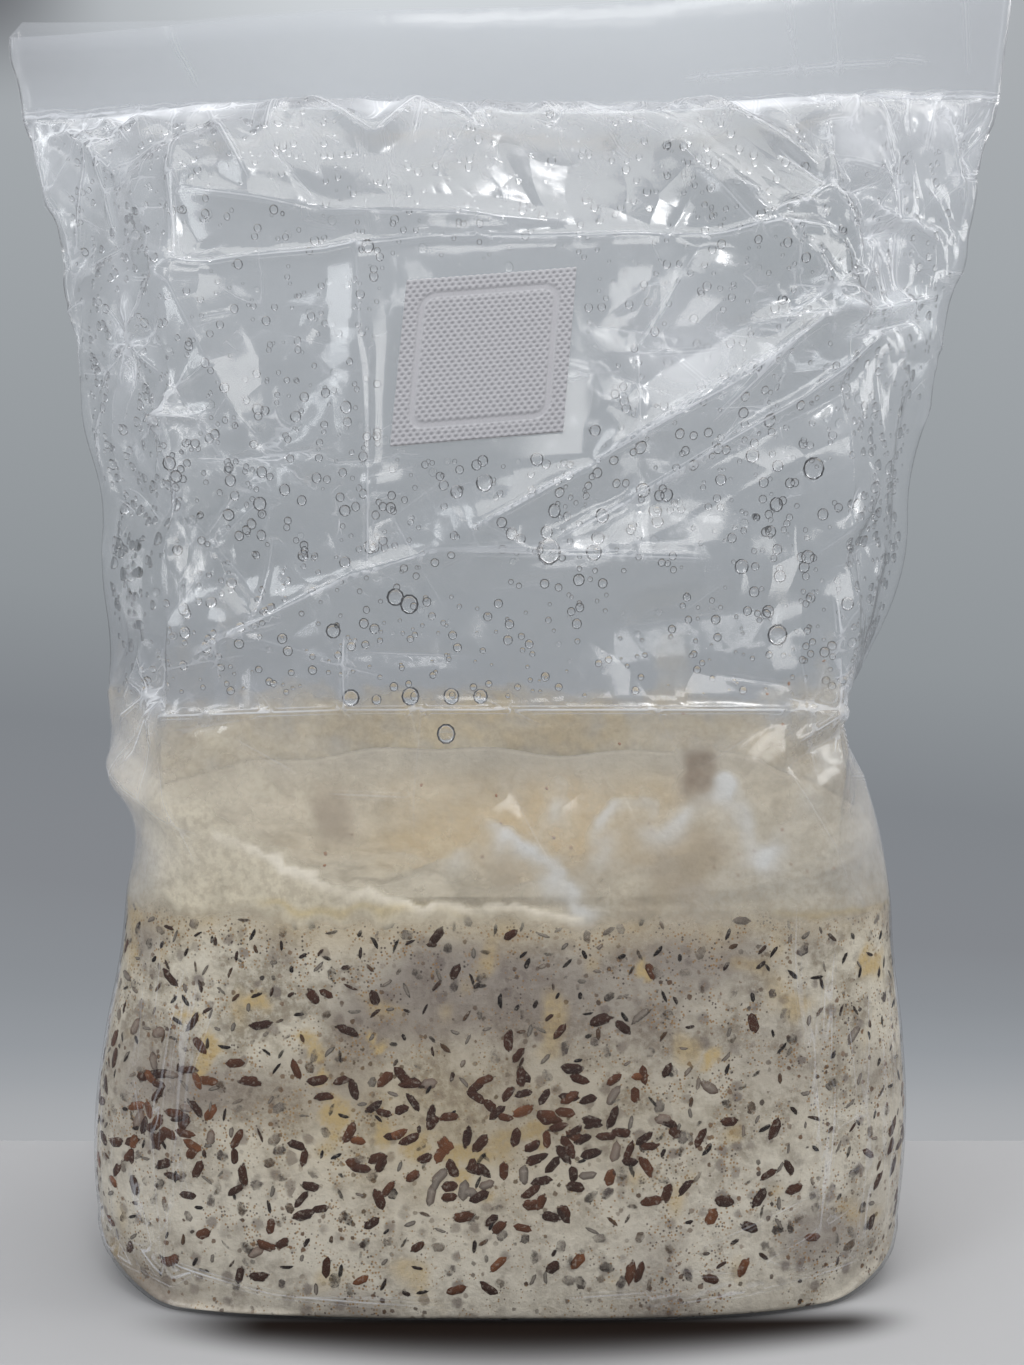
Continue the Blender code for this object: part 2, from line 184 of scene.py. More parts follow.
card = Look("pale_card")
card_place = card.node("SeparateXYZ", {0: card.place()})
# The card's painted grey ramp, by height and a little by side.
near_side = card.node("Clamp", {0: card_place["X"], 1: -0.4, 2: 0.4})[0]
aslant = card.times(near_side, card.spread(card_place["Z"], 0.0, 0.1, 0.0, 0.1))
aslant = card.maths("ADD", card_place["Z"], aslant)
ramp = card.node("ValToRGB", {0: card.maths("DIVIDE", aslant, CARD_GREYS[-1][0])})[0]
steps = ramp.node.color_ramp.elements
steps.remove(steps[0])
steps[0].position = 0.0
steps[0].color = shade(*CARD_GREYS[0][1])
for card_height, grey in CARD_GREYS[1:]:
    steps.new(card_height / CARD_GREYS[-1][0]).color = shade(*grey)
# A painted pool of lamp light high in the middle of the card, and a painted dim corner at its top left.
off_middle = card.maths("ABSOLUTE", card_place["X"])
painted_lamp_glow = card.spread(off_middle, 0.08, 0.37, 1.0, 0.0)
painted_lamp_glow = card.times(card.spread(card_place["Z"], 0.53, 0.65), painted_lamp_glow)
painted_dim_corner = card.spread(card_place["X"], -0.365, -0.265, 0.95, 0.0)
painted_dim_corner = card.times(card.spread(card_place["Z"], 0.570, 0.665), painted_dim_corner)
card_colour = card.blend(painted_lamp_glow, ramp, shade(208, 213, 217))
card_colour = card.blend(painted_dim_corner, card_colour, shade(104, 106, 110))
# Painted glow: where the card rises, camera, glossy and transmission rays see the painted colour as emission.
ray = card.node("LightPath")
seen = card.maths("MAXIMUM", ray["Is Camera Ray"], ray["Is Glossy Ray"])
seen = card.maths("MAXIMUM", seen, ray["Is Transmission Ray"])
behind = card.maths("GREATER_THAN", card_place["Z"], 0.0002)
glow = card.node("Emission", {"Color": card_colour})[0]
# A painted shadow: the flat card is darkened close in front of the bag's foot, fading out towards its
# corners.
foot = []
for axis, half in FOOT_HALF.items():
    share = card.maths("ABSOLUTE", card.maths("DIVIDE", card_place[axis], half))
    foot.append(card.maths("POWER", share, FOOT_POWER))
foot = card.maths("POWER", card.maths("MAXIMUM", card.maths("ADD", *foot), 1.0), 1 / FOOT_POWER)
flat_place = card.node("CombineXYZ", {0: card_place["X"], 1: card_place["Y"]})[0]
from_middle = card.node("VectorMath", {0: flat_place}, operation="LENGTH")["Value"]
from_foot = card.times(from_middle, card.maths("SUBTRACT", 1.0, card.maths("DIVIDE", 1.0, foot)))
painted_shadow_under_edge = card.maths("POWER", card.spread(from_foot, 0.0, SHADOW_REACH), 2.0)
painted_shadow_under_edge = card.maths("SUBTRACT", 1.0, painted_shadow_under_edge)
painted_shadow_under_edge = card.times(painted_shadow_under_edge, card.spread(card_place["Y"], -0.052, -0.042, 1.0, 0.0))
painted_shadow_under_edge = card.times(painted_shadow_under_edge, card.spread(card_place["X"], -0.117, -0.068))
painted_shadow_under_edge = card.times(painted_shadow_under_edge, card.spread(card_place["X"], 0.097, 0.124, 1.0, 0.0))
plain = card.node("BsdfDiffuse", {"Color": card.blend(painted_shadow_under_edge, CARD_TONE, SHADOW_TONE)})[0]
lit = card.mix(card.times(seen, behind), plain, glow)
open_back = card.node("BsdfTransparent", {"Color": WHITE})[0]
card.finish(card.mix(card.node("NewGeometry")["Backfacing"], lit, open_back))
card.material.cycles.emission_sampling = "NONE"

quarter = np.linspace(0, math.pi / 2, 33)
card_run = np.concatenate([
    [(CARD_START, 0.0)],
    np.stack([CARD_BEND + CARD_SWEEP * np.sin(quarter), CARD_SWEEP * (1 - np.cos(quarter))], axis=-1),
    [(CARD_BEND + CARD_SWEEP, CARD_TOP)],
])
card_sides = np.array([-CARD_HALF, CARD_HALF])
card_grid = np.zeros((len(card_run), 2, 3))
card_grid[..., 0] = card_sides
card_grid[..., 1:] = card_run[:, None, :]
make_piece("card", card_grid, [grid_faces(len(card_run), 2)], card)

table_top = Look("pale_table")
table_top.finish(table_top.node("BsdfDiffuse", {"Color": CARD_TONE})[0])
table = [(x, y, -TABLE_DROP) for x, y in ((-1, -1), (1, -1), (1, 1), (-1, 1))]
table = np.array(table) * (CARD_HALF, CARD_HALF, 1.0)
make_piece("table", table, [np.array([[0, 1, 2, 3]])], table_top)

world = bpy.context.scene.world or bpy.data.worlds.new("room")
bpy.context.scene.world = world
world.use_nodes = True
world.node_tree.nodes["Background"].inputs["Color"].default_value = (0.88, 0.92, 1.0, 1.0)
world.node_tree.nodes["Background"].inputs["Strength"].default_value = 0.40

BAG_MIDDLE = Vector((0.0, 0.0, 0.21))
LAMPS = (
    ("ceiling", (0.10, -0.12, 1.45), (1.90, 0.90), 13.0, (1.0, 0.99, 0.97)),
    ("window", (-0.95, -0.75, 0.95), (0.40, 0.80), 4.0, (0.94, 0.97, 1.0)),
    ("front", (0.45, -1.60, 1.00), (0.90, 0.50), 5.0, (1.0, 0.99, 0.98)),
    ("right_edge", (0.85, -0.10, 0.75), (0.16, 0.70), 1.8, (1.0, 1.0, 1.0)),
    ("glint", (0.22, -0.60, 1.30), (0.14, 0.10), 0.9, (1.0, 1.0, 1.0)),
)
for label, place, size, power, colour in LAMPS:
    lamp = bpy.data.lights.new(label, "AREA")
    lamp.shape = "RECTANGLE"
    lamp.size, lamp.size_y = size
    lamp.energy = power
    lamp.color = colour
    lamp_object = bpy.data.objects.new(label, lamp)
    lamp_object.location = place
    lamp_object.rotation_euler = (BAG_MIDDLE - Vector(place)).to_track_quat("-Z", "Y").to_euler()
    bpy.context.scene.collection.objects.link(lamp_object)

camera = bpy.data.cameras.new("camera")
camera.lens = 27.03
camera.sensor_width = 36.0
camera_object = bpy.data.objects.new("camera", camera)
camera_object.location = (0.0012, -0.346, 0.184)
camera_object.rotation_euler = (math.radians(90), 0.0, 0.0)
bpy.context.scene.collection.objects.link(camera_object)
bpy.context.scene.camera = camera_object
bpy.context.scene.view_settings.view_transform = "Standard"
paths = bpy.context.scene.cycles
paths.diffuse_bounces, paths.glossy_bounces, paths.transmission_bounces = 2, 2, 5
paths.max_bounces, paths.transparent_max_bounces = 6, 12

# The bag: one tube of clear polypropylene film with a gusset folded into each side, pressed to a block
# at its foot, slack above it, and welded shut across the top below a loose flap.
FRONT_PANEL = 0.203
GUSSET_HALF = 0.0635
WALL = 0.0004
BAG_HEIGHT = 0.416
WELD_HEIGHT = 0.381
WELD_BAND = 0.004
WELD_THICKNESS = 0.0012
WELD_SLOPE = 0.014
MOUTH_GAP = 0.0024
FLAP_LEAN = 0.010
BLOCK_WIDTH = 0.264
BLOCK_DEPTH = 0.106
BLOCK_HEIGHT = 0.118
BLOCK_POWER = 3.4
SHOULDER = 0.070
FRONT_ROUNDING = 0.0028
SIDE_ROUNDING = 0.020
TUCKS = ((-0.108, 0.050, 0.0022), (0.128, 0.032, 0.0014))
RIM_BAND = 0.005
BASE_RECESS = 0.0007
PATCH_SIDE = 0.0508
PATCH_ACROSS = -0.007
PATCH_HEIGHT = 0.281
PATCH_SLANT = 0.085
FLAT_HALF = FRONT_PANEL / 2 + GUSSET_HALF
ROUND_HALF = 2 * FLAT_HALF
WELD_BOTTOM = WELD_HEIGHT - WELD_BAND
BLOCK_OUTLINE = (
    (0.00, 0.965, 0.920),
    (0.18, 0.998, 0.950),
    (0.43, 1.003, 0.967),
    (0.62, 0.981, 0.959),
    (0.88, 0.940, 0.936),
    (1.00, 0.938, 0.938),
)
HEAD_OUTLINE = (
    (0.09, -0.210, -0.330),
    (0.13, 0.070, -0.440),
    (0.20, 0.075, -0.700),
    (0.28, 0.095, -0.400),
    (0.35, 0.125, -0.100),
    (0.51, 0.180, 0.125),
    (0.64, 0.420, 0.350),
    (0.77, 0.580, 0.575),
    (0.87, 0.690, 0.770),
    (0.94, 0.865, 0.860),
)


def ease(value, low, high):
    """0 below low, 1 above high, and an easy curve between them."""
    share = np.clip((value - low) / (high - low), 0.0, 1.0)
    return share * share * (3 - 2 * share)


def curve_through(knots, values, at):
    """A cubic curve through the values at the knots, its slope at each taken from the knots beside it."""
    slopes = np.gradient(values, knots)
    at = np.clip(at, knots[0], knots[-1])
    i = np.clip(np.searchsorted(knots, at) - 1, 0, len(knots) - 2)
    gap = knots[i + 1] - knots[i]
    t = (at - knots[i]) / gap
    return (
        values[i] * (2 * t**3 - 3 * t**2 + 1)
        + values[i + 1] * (3 * t**2 - 2 * t**3)
        + slopes[i] * gap * (t**3 - 2 * t**2 + t)
        + slopes[i + 1] * gap * (t**3 - t**2)
    )


half_block = BLOCK_WIDTH / 2
low_knots = [(s * BLOCK_HEIGHT, left * half_block, right * half_block) for s, left, right in BLOCK_OUTLINE]
high_knots = [
    (
        BLOCK_HEIGHT + s * (WELD_BOTTOM - BLOCK_HEIGHT),
        half_block + left * (FLAT_HALF - half_block),
        half_block + right * (FLAT_HALF - half_block),
    )
    for s, left, right in HEAD_OUTLINE
]
outline = np.array(low_knots + high_knots + [(WELD_BOTTOM, FLAT_HALF, FLAT_HALF)])


def half_widths(up):
    """Half the bag's width, left and right of the middle, at a height."""
    sides = [curve_through(outline[:, 0], outline[:, k], up) for k in (1, 2)]
    return [np.minimum(np.where(up >= WELD_BOTTOM, FLAT_HALF, side), FLAT_HALF) for side in sides]


def gusset_depth(half_width, up):
    """How far a panel's creases stand off the middle plane when its gussets are opened to half_width: the
    other short side of the triangle whose long side is half a gusset, held under half the block's depth."""
    depth = np.sqrt(np.maximum(GUSSET_HALF**2 - (half_width - FRONT_PANEL / 2) ** 2, 0.0))
    limit = BLOCK_DEPTH / 2
    depth = depth * limit / (depth**4 + limit**4) ** 0.25
    flap = WELD_THICKNESS / 2
    flap = flap + (MOUTH_GAP / 2 + WALL - WELD_THICKNESS / 2) * ease(up, WELD_HEIGHT, BAG_HEIGHT)
    return np.maximum(depth, flap)


def creased_section(across, up, inset):
    """The six-sided section of the open tube: two flat panels, and two gussets that meet in a point."""
    left, right = half_widths(up)
    half = np.where(across < 0, left, right)
    depth = gusset_depth(half, up)
    other = gusset_depth(np.where(across < 0, right, left), up)
    away = np.abs(across)
    face = np.where(away <= FLAT_HALF, -1.0, 1.0)
    away = np.where(away <= FLAT_HALF, away, 2 * FLAT_HALF - away)
    crease = FRONT_PANEL / 2
    share = np.clip((away - crease) / GUSSET_HALF, 0.0, 1.0)
    point = inset * GUSSET_HALF / np.maximum(depth, GUSSET_HALF / 8)
    x = np.minimum(away, crease) + share * (half - point - crease)
    panel = (depth + (other - depth) * 0.5 * (1 - np.minimum(away, crease) / crease)) - inset
    return np.sign(across) * x, face * panel * (1 - share)


def rounded_section(across, up, inset):
    """The section round the block: |x/a|^p + |y/b|^p = 1, walked by its own length."""
    left, right = half_widths(up)
    angle = np.linspace(0.0, math.pi, 721)
    x = half_block * np.abs(np.sin(angle)) ** (2 / BLOCK_POWER)
    y = BLOCK_DEPTH / 2 * np.sign(np.cos(angle)) * np.abs(np.cos(angle)) ** (2 / BLOCK_POWER)
    length = np.concatenate([[0.0], np.cumsum(np.hypot(np.diff(x), np.diff(y)))])
    turn = np.interp(np.abs(across) / ROUND_HALF, length / length[-1], angle)
    half = np.where(across < 0, left, right) - inset
    x = np.sign(across) * half * np.abs(np.sin(turn)) ** (2 / BLOCK_POWER)
    y = -(BLOCK_DEPTH / 2 - inset) * np.sign(np.cos(turn)) * np.abs(np.cos(turn)) ** (2 / BLOCK_POWER)
    return x, y


def plain_wall(across, up, inset=0.0):
    """The wall without folds, passing from the rounded section to the six-sided one above the block."""
    share = ease(up, BLOCK_HEIGHT * 0.8, BLOCK_HEIGHT + SHOULDER)
    round_x, round_y = rounded_section(across, up, inset)
    flat_x, flat_y = creased_section(across, up, inset)
    x = round_x + share * (flat_x - round_x)
    return np.stack([x, round_y + share * (flat_y - round_y), up + 0 * x], axis=-1)


# The folds pressed into the film, each from a start to an end as (across, up), with its half width, its
# height out of the wall, and how sharply its crest is pinched.
MAP_STEP = 0.001
MAIN_FOLDS = (
    ((-0.092, 0.194), (-0.022, 0.223), 0.014, 0.0040, 1.0),
    ((-0.022, 0.223), (0.058, 0.225), 0.013, 0.0030, 1.0),
    ((-0.010, 0.229), (0.105, 0.297), 0.012, 0.0040, 1.0),
    ((0.015, 0.226), (0.118, 0.280), 0.012, -0.0035, 1.0),
    ((0.060, 0.345), (0.100, 0.300), 0.013, 0.0045, 1.0),
    ((0.092, 0.362), (0.128, 0.318), 0.012, -0.0045, 1.0),
    ((-0.126, 0.352), (-0.080, 0.262), 0.013, 0.0040, 1.0),
    ((-0.120, 0.262), (-0.070, 0.205), 0.013, -0.0040, 1.0),
    ((-0.046, 0.320), (-0.040, 0.235), 0.010, 0.0025, 1.0),
    ((0.085, 0.160), (0.128, 0.186), 0.011, -0.0035, 1.0),
    ((-0.150, 0.160), (-0.095, 0.140), 0.010, 0.0030, 1.0),
    ((0.225, 0.340), (0.300, 0.250), 0.016, 0.0045, 1.0),
    ((-0.290, 0.330), (-0.230, 0.230), 0.016, -0.0045, 1.0),
    ((-0.330, 0.270), (-0.250, 0.215), 0.014, 0.0040, 1.0),
    ((0.210, 0.215), (0.290, 0.205), 0.014, 0.0040, 1.0),
)
PINCHED_FOLDS = (
    ((-0.098, 0.309), (-0.078, 0.312), 0.005, 0.0016, 2.4),
    ((-0.078, 0.312), (-0.023, 0.318), 0.005, 0.0018, 2.4),
    ((-0.023, 0.318), (0.052, 0.319), 0.005, 0.0014, 2.4),
    ((0.052, 0.319), (0.099, 0.320), 0.005, 0.0018, 2.4),
    ((-0.100, 0.334), (-0.062, 0.327), 0.008, 0.0022, 1.6),
    ((-0.062, 0.327), (0.016, 0.324), 0.007, 0.0014, 1.6),
    ((-0.106, 0.174), (-0.048, 0.176), 0.006, 0.0018, 2.4),
    ((-0.048, 0.176), (0.098, 0.176), 0.006, 0.0020, 2.4),
    ((-0.091, 0.192), (-0.046, 0.215), 0.006, 0.0022, 2.2),
    ((-0.046, 0.215), (-0.020, 0.222), 0.006, 0.0022, 2.2),
    ((-0.020, 0.222), (0.056, 0.220), 0.006, 0.0016, 2.2),
    ((-0.010, 0.228), (0.068, 0.272), 0.006, 0.0024, 2.2),
    ((0.068, 0.272), (0.100, 0.294), 0.006, 0.0024, 2.2),
    ((0.015, 0.226), (0.087, 0.268), 0.006, 0.0024, 2.2),
    ((0.087, 0.268), (0.121, 0.292), 0.006, 0.0024, 2.2),
    ((-0.105, 0.358), (-0.099, 0.310), 0.004, 0.0012, 2.4),
    ((-0.101, 0.277), (-0.101, 0.258), 0.004, 0.0012, 2.4),
    ((-0.041, 0.283), (-0.041, 0.220), 0.004, 0.0013, 2.4),
    ((0.039, 0.283), (0.038, 0.220), 0.003, 0.0007, 2.0),
    ((0.122, 0.325), (0.105, 0.294), 0.004, 0.0014, 2.4),
    ((-0.048, 0.197), (-0.048, 0.175), 0.004, 0.0012, 2.4),
    ((0.096, 0.208), (0.098, 0.170), 0.005, 0.0018, 2.2),
    ((-0.164, 0.374), (-0.158, 0.321), 0.005, 0.0022, 2.0),
    ((-0.160, 0.321), (-0.137, 0.364), 0.005, 0.0022, 2.0),
    ((-0.137, 0.364), (-0.132, 0.330), 0.005, 0.0018, 2.0),
    ((0.100, 0.292), (0.153, 0.310), 0.005, 0.0026, 2.2),
    ((0.100, 0.286), (0.151, 0.303), 0.005, -0.0020, 2.2),
    ((0.061, 0.261), (0.094, 0.292), 0.005, 0.0022, 2.2),
    ((-0.066, 0.372), (-0.041, 0.354), 0.008, 0.0030, 1.5),
    ((-0.041, 0.354), (-0.026, 0.374), 0.008, 0.0030, 1.5),
    ((-0.152, 0.374), (-0.124, 0.343), 0.008, 0.0030, 1.6),
    ((-0.097, 0.372), (-0.078, 0.336), 0.007, 0.0026, 1.6),
    ((0.062, 0.372), (0.092, 0.345), 0.008, 0.0032, 1.6),
    ((0.146, 0.372), (0.158, 0.340), 0.006, 0.0026, 1.8),
)
STARS = (
    ((0.099, 0.334), 5, 0.026, 0.0026),
    ((0.131, 0.330), 5, 0.022, 0.0024),
    ((0.096, 0.300), 7, 0.020, 0.0018),
    ((-0.124, 0.290), 8, 0.022, 0.0020),
    ((-0.128, 0.366), 6, 0.016, 0.0022),
    ((-0.104, 0.262), 6, 0.020, 0.0016),
    ((0.100, 0.176), 7, 0.020, 0.0020),
    ((-0.120, 0.180), 7, 0.022, 0.0022),
    ((0.226, 0.320), 8, 0.034, 0.0024),
    ((-0.240, 0.270), 8, 0.034, 0.0024),
)

map_across = np.arange(-ROUND_HALF, ROUND_HALF - MAP_STEP / 2, MAP_STEP)
map_up = np.arange(0.0, BAG_HEIGHT + 2 * MAP_STEP, MAP_STEP)
fold_map = np.zeros((len(map_up), len(map_across)))
crest_gap = np.full_like(fold_map, 0.05)
crest_side = np.full_like(fold_map, 0.05)
# How white each crest is drawn: partly where the film is stressed white, partly a painted highlight.
crest_white_and_highlight = np.zeros_like(fold_map)
chance = np.random.default_rng(41)


def map_window(low, high):
    """The rows and columns of the fold map between two (across, up) corners, and what they stand for."""
    rows = np.arange(max(0, int(low[1] / MAP_STEP)), min(len(map_up), int(high[1] / MAP_STEP) + 2))
    first, last = (int(math.floor((side + ROUND_HALF) / MAP_STEP)) for side in (low[0], high[0]))
    columns = np.arange(first, last + 2)
    return rows, columns % len(map_across), columns * MAP_STEP - ROUND_HALF, rows * MAP_STEP


def press_fold(start, end, half_width, height, pinch, white=None):
    """Adds one fold to the map: height times (1 - distance from its line / half width) to the power of
    pinch, dying away towards both ends. Its crest is a thin white line that the material draws from the
    signed distance to it: partly where the film is stressed white, partly a painted highlight along it."""
    start, end = np.array(start), np.array(end)
    reach = abs(half_width)
    rows, columns, across, up = map_window(np.minimum(start, end) - reach, np.maximum(start, end) + reach)
    across, up = np.meshgrid(across, up)
    run = end - start
    along = ((across - start[0]) * run[0] + (up - start[1]) * run[1]) / run.dot(run)
    near = np.clip(along, 0.0, 1.0)
    gap = np.hypot(across - start[0] - near * run[0], up - start[1] - near * run[1])
    side = ((across - start[0]) * run[1] - (up - start[1]) * run[0]) / math.hypot(*run)
    fade = 1 - 0.6 * np.abs(2 * near - 1) ** 4
    place = np.ix_(rows, columns)
    fold_map[place] += height * fade * np.clip(1 - gap / reach, 0.0, 1.0) ** pinch
    if white is None:
        white = min(1.0, abs(height) / 0.0018) * min(1.0, 0.25 + 0.5 * (pinch - 1))
    nearer = gap < crest_gap[place]
    crest_gap[place] = np.where(nearer, gap, crest_gap[place])
    crest_side[place] = np.where(nearer, np.copysign(gap, side), crest_side[place])
    shown = white * fade * (1 - ease(gap, 0.0012, 0.0026)) * (1 - ease(gap - np.abs(side), 0.0002, 0.0012))
    crest_white_and_highlight[place] = np.where(nearer, shown, crest_white_and_highlight[place])


def crumple_strength(across, up):
    """How strongly the film is crumpled there: most at the upper right and under the mouth weld."""
    strength = 0.40 + 0.0 * across
    for centre, reach, amount in (
        ((0.118, 0.335), (0.055, 0.045), 1.20),
        ((-0.125, 0.300), (0.035, 0.070), 0.80),
        ((-0.100, 0.200), (0.060, 0.035), 0.55),
        ((0.110, 0.220), (0.050, 0.050), 0.60),
        ((0.000, 0.372), (0.200, 0.010), 0.60),
        ((0.235, 0.300), (0.070, 0.070), 0.80),
        ((-0.240, 0.270), (0.080, 0.080), 0.80),
    ):
        gap = ((across - centre[0]) / reach[0]) ** 2 + ((up - centre[1]) / reach[1]) ** 2
        strength = strength + amount * np.exp(-gap)
    return strength


def scatter_folds(tries, lengths, widths, heights, pinches):
    """Folds at random places and ways above the block, more of them where the film is crumpled more."""
    for _ in range(tries):
        start_across, start_up = chance.uniform(-ROUND_HALF, ROUND_HALF), chance.uniform(0.150, 0.376)
        strength = float(crumple_strength(start_across, start_up))
        if strength < chance.uniform(0.0, 1.3):
            continue
        way, far = chance.uniform(0, 2 * math.pi), chance.uniform(*lengths)
        tip = (start_across + far * math.cos(way), start_up + far * math.sin(way))
        height = chance.uniform(*heights) * chance.choice([-1, 1]) * min(strength, 1.0)
        press_fold((start_across, start_up), tip, chance.uniform(*widths), height, chance.uniform(*pinches))


across_map, up_map = np.meshgrid(map_across, map_up)
fold_map += 0.0012 * np.sin(across_map * 71 + up_map * 48) * np.sin(across_map * 37 - up_map * 90)
for fold in MAIN_FOLDS + PINCHED_FOLDS:
    press_fold(*fold)
for (star_across, star_up), count, reach, height in STARS:
    for k in range(count):
        way = 2 * math.pi * (k + chance.uniform(-0.3, 0.3)) / count
        far = reach * chance.uniform(0.55, 1.0)
        tip = (star_across + far * math.cos(way), star_up + far * math.sin(way))
        press_fold((star_across, star_up), tip, 0.0045, height * chance.choice([1, 1, -0.8]), 2.0)
scatter_folds(230, (0.020, 0.055), (0.006, 0.012), (0.0008, 0.0026), (1.0, 1.4))
scatter_folds(520, (0.006, 0.026), (0.0022, 0.0050), (0.0005, 0.0014), (1.6, 2.6))
for start_across in np.linspace(-0.325, 0.325, 96) + chance.uniform(-0.004, 0.004, 96):
    tip = (start_across + chance.uniform(-0.010, 0.010), WELD_BOTTOM - chance.uniform(0.005, 0.022))
    height = chance.uniform(0.0005, 0.0016) * chance.choice([-1, 1])
    half_width, pinch = chance.uniform(0.003, 0.006), chance.uniform(1.2, 2.2)
    press_fold((start_across, WELD_BOTTOM), tip, half_width, height, pinch)
patch_reach = PATCH_SIDE / 2 * (1 + PATCH_SLANT) + 0.001
from_patch = np.maximum(np.abs(across_map - PATCH_ACROSS), np.abs(up_map - PATCH_HEIGHT))
off_the_patch = ease(from_patch, patch_reach, patch_reach + 0.012)
fold_map *= off_the_patch
crest_white_and_highlight *= off_the_patch
fold_map *= ease(up_map, BLOCK_HEIGHT + 0.004, BLOCK_HEIGHT + 0.045)
fold_map *= 1 - ease(up_map, WELD_BOTTOM - 0.007, WELD_BOTTOM)
crest_white_and_highlight *= 1 - ease(up_map, WELD_BOTTOM - 0.003, WELD_BOTTOM)
crinkle = np.clip(np.hypot(*np.gradient(fold_map, MAP_STEP)) / 0.30, 0.0, 1.0)
FLAP_DENTS = (
    ((0.060, 0.3865), (0.085, 0.3875)),
    ((0.088, 0.3870), (0.126, 0.3880)),
    ((0.128, 0.3895), (0.138, 0.3885)),
)
FOOT_CREASES = (
    ((-0.156, 0.034), (-0.118, 0.017), 0.9),
    ((-0.118, 0.017), (-0.070, 0.0080), 1.0),
    ((-0.070, 0.0080), (-0.015, 0.0050), 0.8),
    ((-0.140, 0.016), (-0.100, 0.0060), 0.5),
    ((0.020, 0.0080), (0.070, 0.0110), 0.7),
    ((0.045, 0.0050), (0.115, 0.0130), 0.6),
)
SIDE_CREASES = (
    ((0.060, 0.022), (0.118, 0.044)),
    ((0.078, 0.016), (0.124, 0.036)),
    ((0.092, 0.050), (0.126, 0.062)),
)
# Spots of white drawn on the film: painted highlight where creased film mirrors the lamps, on top of its real
# milky haze; the negative ones take haze away.
SATIN_AND_HIGHLIGHTS = (
    ((-0.122, 0.3735), (0.022, 0.0032), 0.65),
    ((-0.100, 0.3700), (0.012, 0.0050), 0.40),
    ((-0.040, 0.3700), (0.008, 0.0065), 0.45),
    ((-0.060, 0.3748), (0.020, 0.0022), 0.42),
    ((0.004, 0.3745), (0.018, 0.0020), 0.20),
    ((0.030, 0.3690), (0.006, 0.0060), 0.25),
    ((0.080, 0.3725), (0.020, 0.0036), 0.50),
    ((0.114, 0.3560), (0.012, 0.0110), 0.45),
    ((0.142, 0.3660), (0.010, 0.0080), 0.40),
    ((-0.128, 0.3000), (0.008, 0.0360), 0.22),
    ((0.126, 0.3150), (0.012, 0.0200), 0.22),
    ((0.053, 0.2860), (0.014, 0.0180), 0.36),
    ((0.104, 0.2550), (0.010, 0.0160), 0.10),
    ((-0.108, 0.2960), (0.010, 0.0140), 0.08),
    ((0.093, 0.3135), (0.012, 0.0100), -0.14),
    ((-0.087, 0.2270), (0.016, 0.0120), -0.12),
    ((0.074, 0.3280), (0.030, 0.0320), -0.18),
)


def satin_and_highlight(across, up):
    """How white the film is drawn: the milky haze of finely creased facets, and painted highlight on it."""
    total = 0.0
    for (middle_across, middle_up), (wide, tall), amount in SATIN_AND_HIGHLIGHTS:
        off_across, off_up = (across - middle_across) / wide, (up - middle_up) / tall
        total = total + amount * np.exp(-(off_across**2) - off_up**2)
    return total * (0.45 + 0.55 * read_map(crinkle, across, up))


# Creases drawn mostly in white: small flap folds, the crinkled weld, and creases at the foot and the sides,
# partly stress whitening and partly painted highlight along them.
for flap_across, height in ((-0.104, 0.0006), (0.096, 0.0006), (0.110, 0.0005), (0.153, 0.0005)):
    start, tip = (flap_across, WELD_HEIGHT + 0.004), (flap_across - 0.006, BAG_HEIGHT)
    press_fold(start, tip, 0.004, height, 1.8, 0.35)
weld_across = np.linspace(-ROUND_HALF, ROUND_HALF, 121)
weld_up = WELD_BOTTOM + 0.0015 + chance.uniform(-0.0007, 0.0007, 121)
for k in range(120):
    for lower in (0.0, 0.0008):
        ends = (weld_across[k], weld_up[k] - lower), (weld_across[k + 1] - 1e-4, weld_up[k + 1] - lower)
        press_fold(*ends, 0.003, 0.0, 1.0, chance.uniform(0.6, 1.4))
for start, tip in FLAP_DENTS:
    press_fold(start, tip, 0.003, 0.0003, 1.0, 0.8)
for start, tip, white in FOOT_CREASES:
    press_fold(start, tip, 0.003, 0.0, 1.0, white)
for side in (-1, 1):
    for _ in range(60):
        start = side * chance.uniform(0.092, 0.185), chance.uniform(0.008, 0.085)
        tip = (start[0] + chance.uniform(-0.005, 0.005), start[1] + chance.uniform(0.012, 0.045))
        press_fold(start, tip, 0.003, 0.0, 1.0, chance.uniform(0.1, 0.5))
for start, tip in SIDE_CREASES:
    press_fold(start, tip, 0.003, 0.0, 1.0, 0.35)


def read_map(table, across, up):
    """A value between the fold map's nodes."""
    column = (across + ROUND_HALF) / MAP_STEP
    row = np.clip(up / MAP_STEP, 0, len(map_up) - 1.001)
    j, i = np.floor(column).astype(int), np.floor(row).astype(int)
    s, t = column - j, row - i
    j, k = j % len(map_across), (j + 1) % len(map_across)
    low = table[i, j] * (1 - s) + table[i, k] * s
    return low * (1 - t) + (table[i + 1, j] * (1 - s) + table[i + 1, k] * s) * t


def unit_long(ways):
    """The directions made one long."""
    return ways / np.maximum(np.linalg.norm(ways, axis=-1, keepdims=True), 1e-12)


def surface_ways(surface, across, up, step):
    """The directions round, up and out of a surface at (across, up), from points a step to either side."""
    round_way = surface(across + step, up) - surface(across - step, up)
    up_way = surface(across, up + step) - surface(across, up - step)
    return round_way, up_way, unit_long(np.cross(round_way, up_way))


